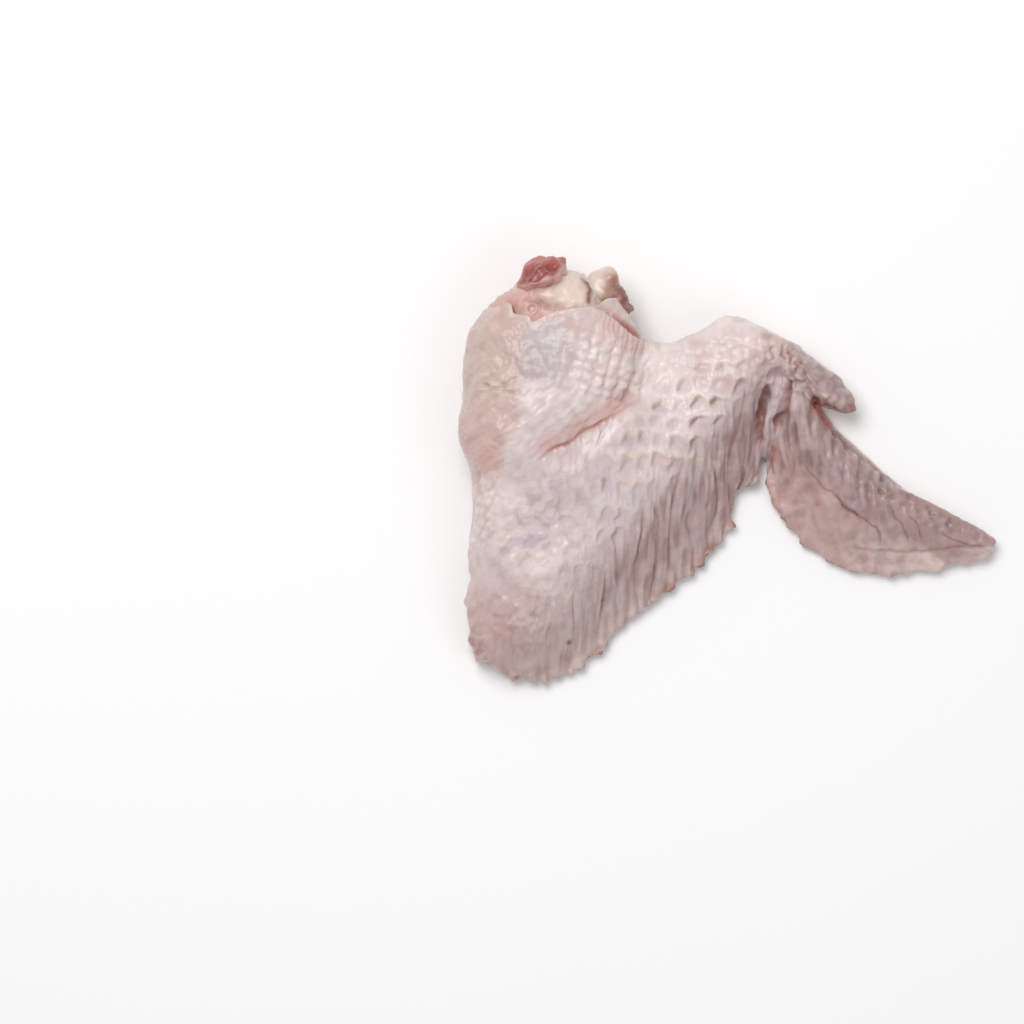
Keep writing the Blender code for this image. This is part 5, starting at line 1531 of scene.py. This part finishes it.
def make_humerus(sizes):
    """The bone of the upper wing, its head capped with cartilage and its marrow end ragged, with painted
    shade on the lower right of the knob.
    """
    parts = [tube_object("shaft", BONE_LINE, BONE_RADIUS)]
    parts += [ball_object(f"knob_{number}", centre, radius)
              for number, (centre, radius) in enumerate(BONE_KNOBS)]
    body = join_and_remesh(parts, "humerus_bone", sizes.voxel, 1.3)
    points = read_points(body)
    normals = read_normals(body)
    plan = points[:, :2]
    head = smooth_step(33.0, 37.0, points[:, 1])
    ragged = smooth_step(-27.5, -25.0, points[:, 0]) * smooth_step(43.5, 41.0, points[:, 1]) * head
    lumps = head * (0.35 + 0.55 * wave_noise(points, 5.0, 31))
    lumps += ragged * 0.32 * wave_noise(points, 1.5, 32, 16)
    write_points(body, points + normals * lumps[:, None])
    loose = warped(plan, 0.5, 3.0, 221)
    store_layer(body, "marrow", smooth_step(-27.0, -25.6, loose[:, 0]) * smooth_step(43.4, 42.0, loose[:, 1]))
    # Painted shade on the lower right of the knob.
    store_layer(body, "shade", soft_patch(loose, (-26.6, 41.6), (4.6, 3.4), -50.0) * head)
    store_layer(body, "fascia", 0.5 * head * smooth_step(0.2, 1.3, wave_noise(points, 2.6, 222, 16)))
    tints = [("fascia", tuple(sizes.fascia)), ("shade", tuple(sizes.bruise)), ("marrow", tuple(sizes.marrow))]
    finish_piece(body, tissue_material("cartilage", tuple(sizes.cartilage), tints, roughness=0.36, coat=0.3))
    return body


def make_floor(studio):
    """The wide pale floor, just under the wing."""
    bpy.ops.mesh.primitive_plane_add(size=studio.floor_side, location=(0.0, 0.0, -FLOOR_GAP * MM))
    floor = bpy.context.object
    floor.name = "floor"
    finish = bpy.data.materials.new("pale_floor")
    finish.use_nodes = True
    nodes = finish.node_tree.nodes
    shader = nodes["Principled BSDF"]
    place = nodes.new("ShaderNodeTexCoord")
    cloud = nodes.new("ShaderNodeTexNoise")
    cloud.inputs["Scale"].default_value = 3.0
    tone = nodes.new("ShaderNodeValToRGB")
    tone.color_ramp.elements[0].color = (0.93, 0.93, 0.93, 1.0)
    tone.color_ramp.elements[1].color = (0.96, 0.96, 0.96, 1.0)
    finish.node_tree.links.new(place.outputs["Object"], cloud.inputs["Vector"])
    finish.node_tree.links.new(cloud.outputs["Fac"], tone.inputs["Fac"])
    finish.node_tree.links.new(tone.outputs["Color"], shader.inputs["Base Color"])
    shader.inputs["Roughness"].default_value = 0.7
    shader.inputs["Specular IOR Level"].default_value = 0.2
    floor.data.materials.append(finish)


def make_area_light(name, place, target, side, power):
    """A soft square light that faces a target."""
    data = bpy.data.lights.new(name, "AREA")
    data.shape = "SQUARE"
    data.size = side
    data.energy = power
    light = bpy.data.objects.new(name, data)
    light.location = place
    light.rotation_mode = "QUATERNION"
    light.rotation_quaternion = (Vector(target) - Vector(place)).to_track_quat("-Z", "Y")
    bpy.context.scene.collection.objects.link(light)


def make_lights(studio):
    """The large soft light, the fill light and the even light from all round."""
    make_area_light("key_light", (-0.25, 0.36, 0.85), (0.0, 0.0, 0.0), 0.5, studio.key_power)
    make_area_light("fill_light", (0.5, -0.4, 0.7), (0.0, 0.0, 0.0), 0.6, studio.fill_power)
    world = bpy.data.worlds.new("studio")
    world.use_nodes = True
    world.node_tree.nodes["Background"].inputs["Color"].default_value = (1.0, 1.0, 1.0, 1.0)
    world.node_tree.nodes["Background"].inputs["Strength"].default_value = studio.sky
    bpy.context.scene.world = world
    bpy.context.scene.view_settings.view_transform = "Standard"


def make_camera(studio):
    """The camera, straight over its aim."""
    data = bpy.data.cameras.new("camera")
    data.sensor_width = 36.0
    wing_height = (CAD_BOX[1][2] - CAD_BOX[0][2]) / 2.0
    data.lens = data.sensor_width * (studio.camera_height - wing_height) / studio.frame_width
    camera = bpy.data.objects.new("camera", data)
    camera.location = (studio.aim[0], studio.aim[1], studio.camera_height)
    bpy.context.scene.collection.objects.link(camera)
    bpy.context.scene.camera = camera


PIECES = {
    "wing_skin": ("skin", "skin"),
    "shoulder_meat": ("meat", "meat"),
    "cut_muscle": ("red_muscle", "red_muscle"),
    "humerus_bone": ("humerus", "bone"),
}


class WING_OT_skin(bpy.types.Operator):
    """Makes the skin with its cups, ribs, pearls and folds"""

    bl_idname = "wing.skin"
    bl_label = "Skin"

    def execute(self, context):
        make_skin(context.scene.wing_skin)
        return {"FINISHED"}


class WING_OT_meat(bpy.types.Operator):
    """Makes the pale meat under the skin"""

    bl_idname = "wing.meat"
    bl_label = "Meat"

    def execute(self, context):
        make_meat(context.scene.wing_shoulder)
        return {"FINISHED"}


class WING_OT_red_muscle(bpy.types.Operator):
    """Makes the cut red muscle at the shoulder"""

    bl_idname = "wing.red_muscle"
    bl_label = "Red muscle"

    def execute(self, context):
        make_red_muscle(context.scene.wing_shoulder)
        return {"FINISHED"}


class WING_OT_humerus(bpy.types.Operator):
    """Makes the bone with its head at the shoulder"""

    bl_idname = "wing.humerus"
    bl_label = "Humerus"

    def execute(self, context):
        make_humerus(context.scene.wing_shoulder)
        return {"FINISHED"}


class WING_OT_settle(bpy.types.Operator):
    """Sets the pieces into the frame's box, on its body, in place of their solids"""

    bl_idname = "wing.settle"
    bl_label = "Set in the frame"

    def execute(self, context):
        made = [bpy.data.objects[name] for name in PIECES]
        low = np.min([read_points(piece).min(axis=0) for piece in made], axis=0)
        high = np.max([read_points(piece).max(axis=0) for piece in made], axis=0)
        box_low, box_high = (np.array(corner) / MM for corner in CAD_BOX)
        scale = (box_high[0] - box_low[0]) / (high[0] - low[0])
        for piece in made:
            points = (read_points(piece) - (low + high) / 2.0) * scale + (box_low + box_high) / 2.0
            points[:, 2] += box_low[2] - ((low[2] - high[2]) / 2.0 * scale + (box_low[2] + box_high[2]) / 2.0)
            write_points(piece, points)
        for name, (node, finish) in PIECES.items():
            piece = bpy.data.objects[name]
            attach(piece, BODY)
            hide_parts(node)
        return {"FINISHED"}


class WING_OT_stage(bpy.types.Operator):
    """Makes the pale floor, the soft lights and the camera"""

    bl_idname = "wing.stage"
    bl_label = "Studio"

    def execute(self, context):
        studio = context.scene.wing_stage
        make_floor(studio)
        make_lights(studio)
        make_camera(studio)
        return {"FINISHED"}


class WING_PT_panel(bpy.types.Panel):
    """The wing's pieces and settings"""

    bl_idname = "WING_PT_panel"
    bl_label = "Raw Chicken Wing"
    bl_space_type = "VIEW_3D"
    bl_region_type = "UI"
    bl_category = "Wing"

    def draw(self, context):
        for operator in OPERATORS:
            self.layout.operator(operator.bl_idname)
        for settings in ("wing_skin", "wing_shoulder", "wing_stage"):
            group = getattr(context.scene, settings)
            box = self.layout.box()
            for name in group.bl_rna.properties.keys():
                if name not in ("rna_type", "name"):
                    box.prop(group, name)


SETTINGS = {"wing_skin": WING_PG_skin, "wing_shoulder": WING_PG_shoulder, "wing_stage": WING_PG_stage}
OPERATORS = (WING_OT_skin, WING_OT_meat, WING_OT_red_muscle, WING_OT_humerus, WING_OT_settle, WING_OT_stage)


def register():
    """Adds the settings, the operators and the panel."""
    for group in SETTINGS.values():
        bpy.utils.register_class(group)
    for operator in OPERATORS:
        bpy.utils.register_class(operator)
    bpy.utils.register_class(WING_PT_panel)
    for name, group in SETTINGS.items():
        setattr(bpy.types.Scene, name, PointerProperty(type=group))


def unregister():
    """Takes the panel, the operators and the settings away."""
    for name in SETTINGS:
        delattr(bpy.types.Scene, name)
    bpy.utils.unregister_class(WING_PT_panel)
    for operator in reversed(OPERATORS):
        bpy.utils.unregister_class(operator)
    for group in reversed(list(SETTINGS.values())):
        bpy.utils.unregister_class(group)


def main():
    """Makes the wing and its studio."""
    register()
    bpy.ops.wing.skin()
    bpy.ops.wing.meat()
    bpy.ops.wing.red_muscle()
    bpy.ops.wing.humerus()
    bpy.ops.wing.settle()
    bpy.ops.wing.stage()


if __name__ == "__main__":
    main()
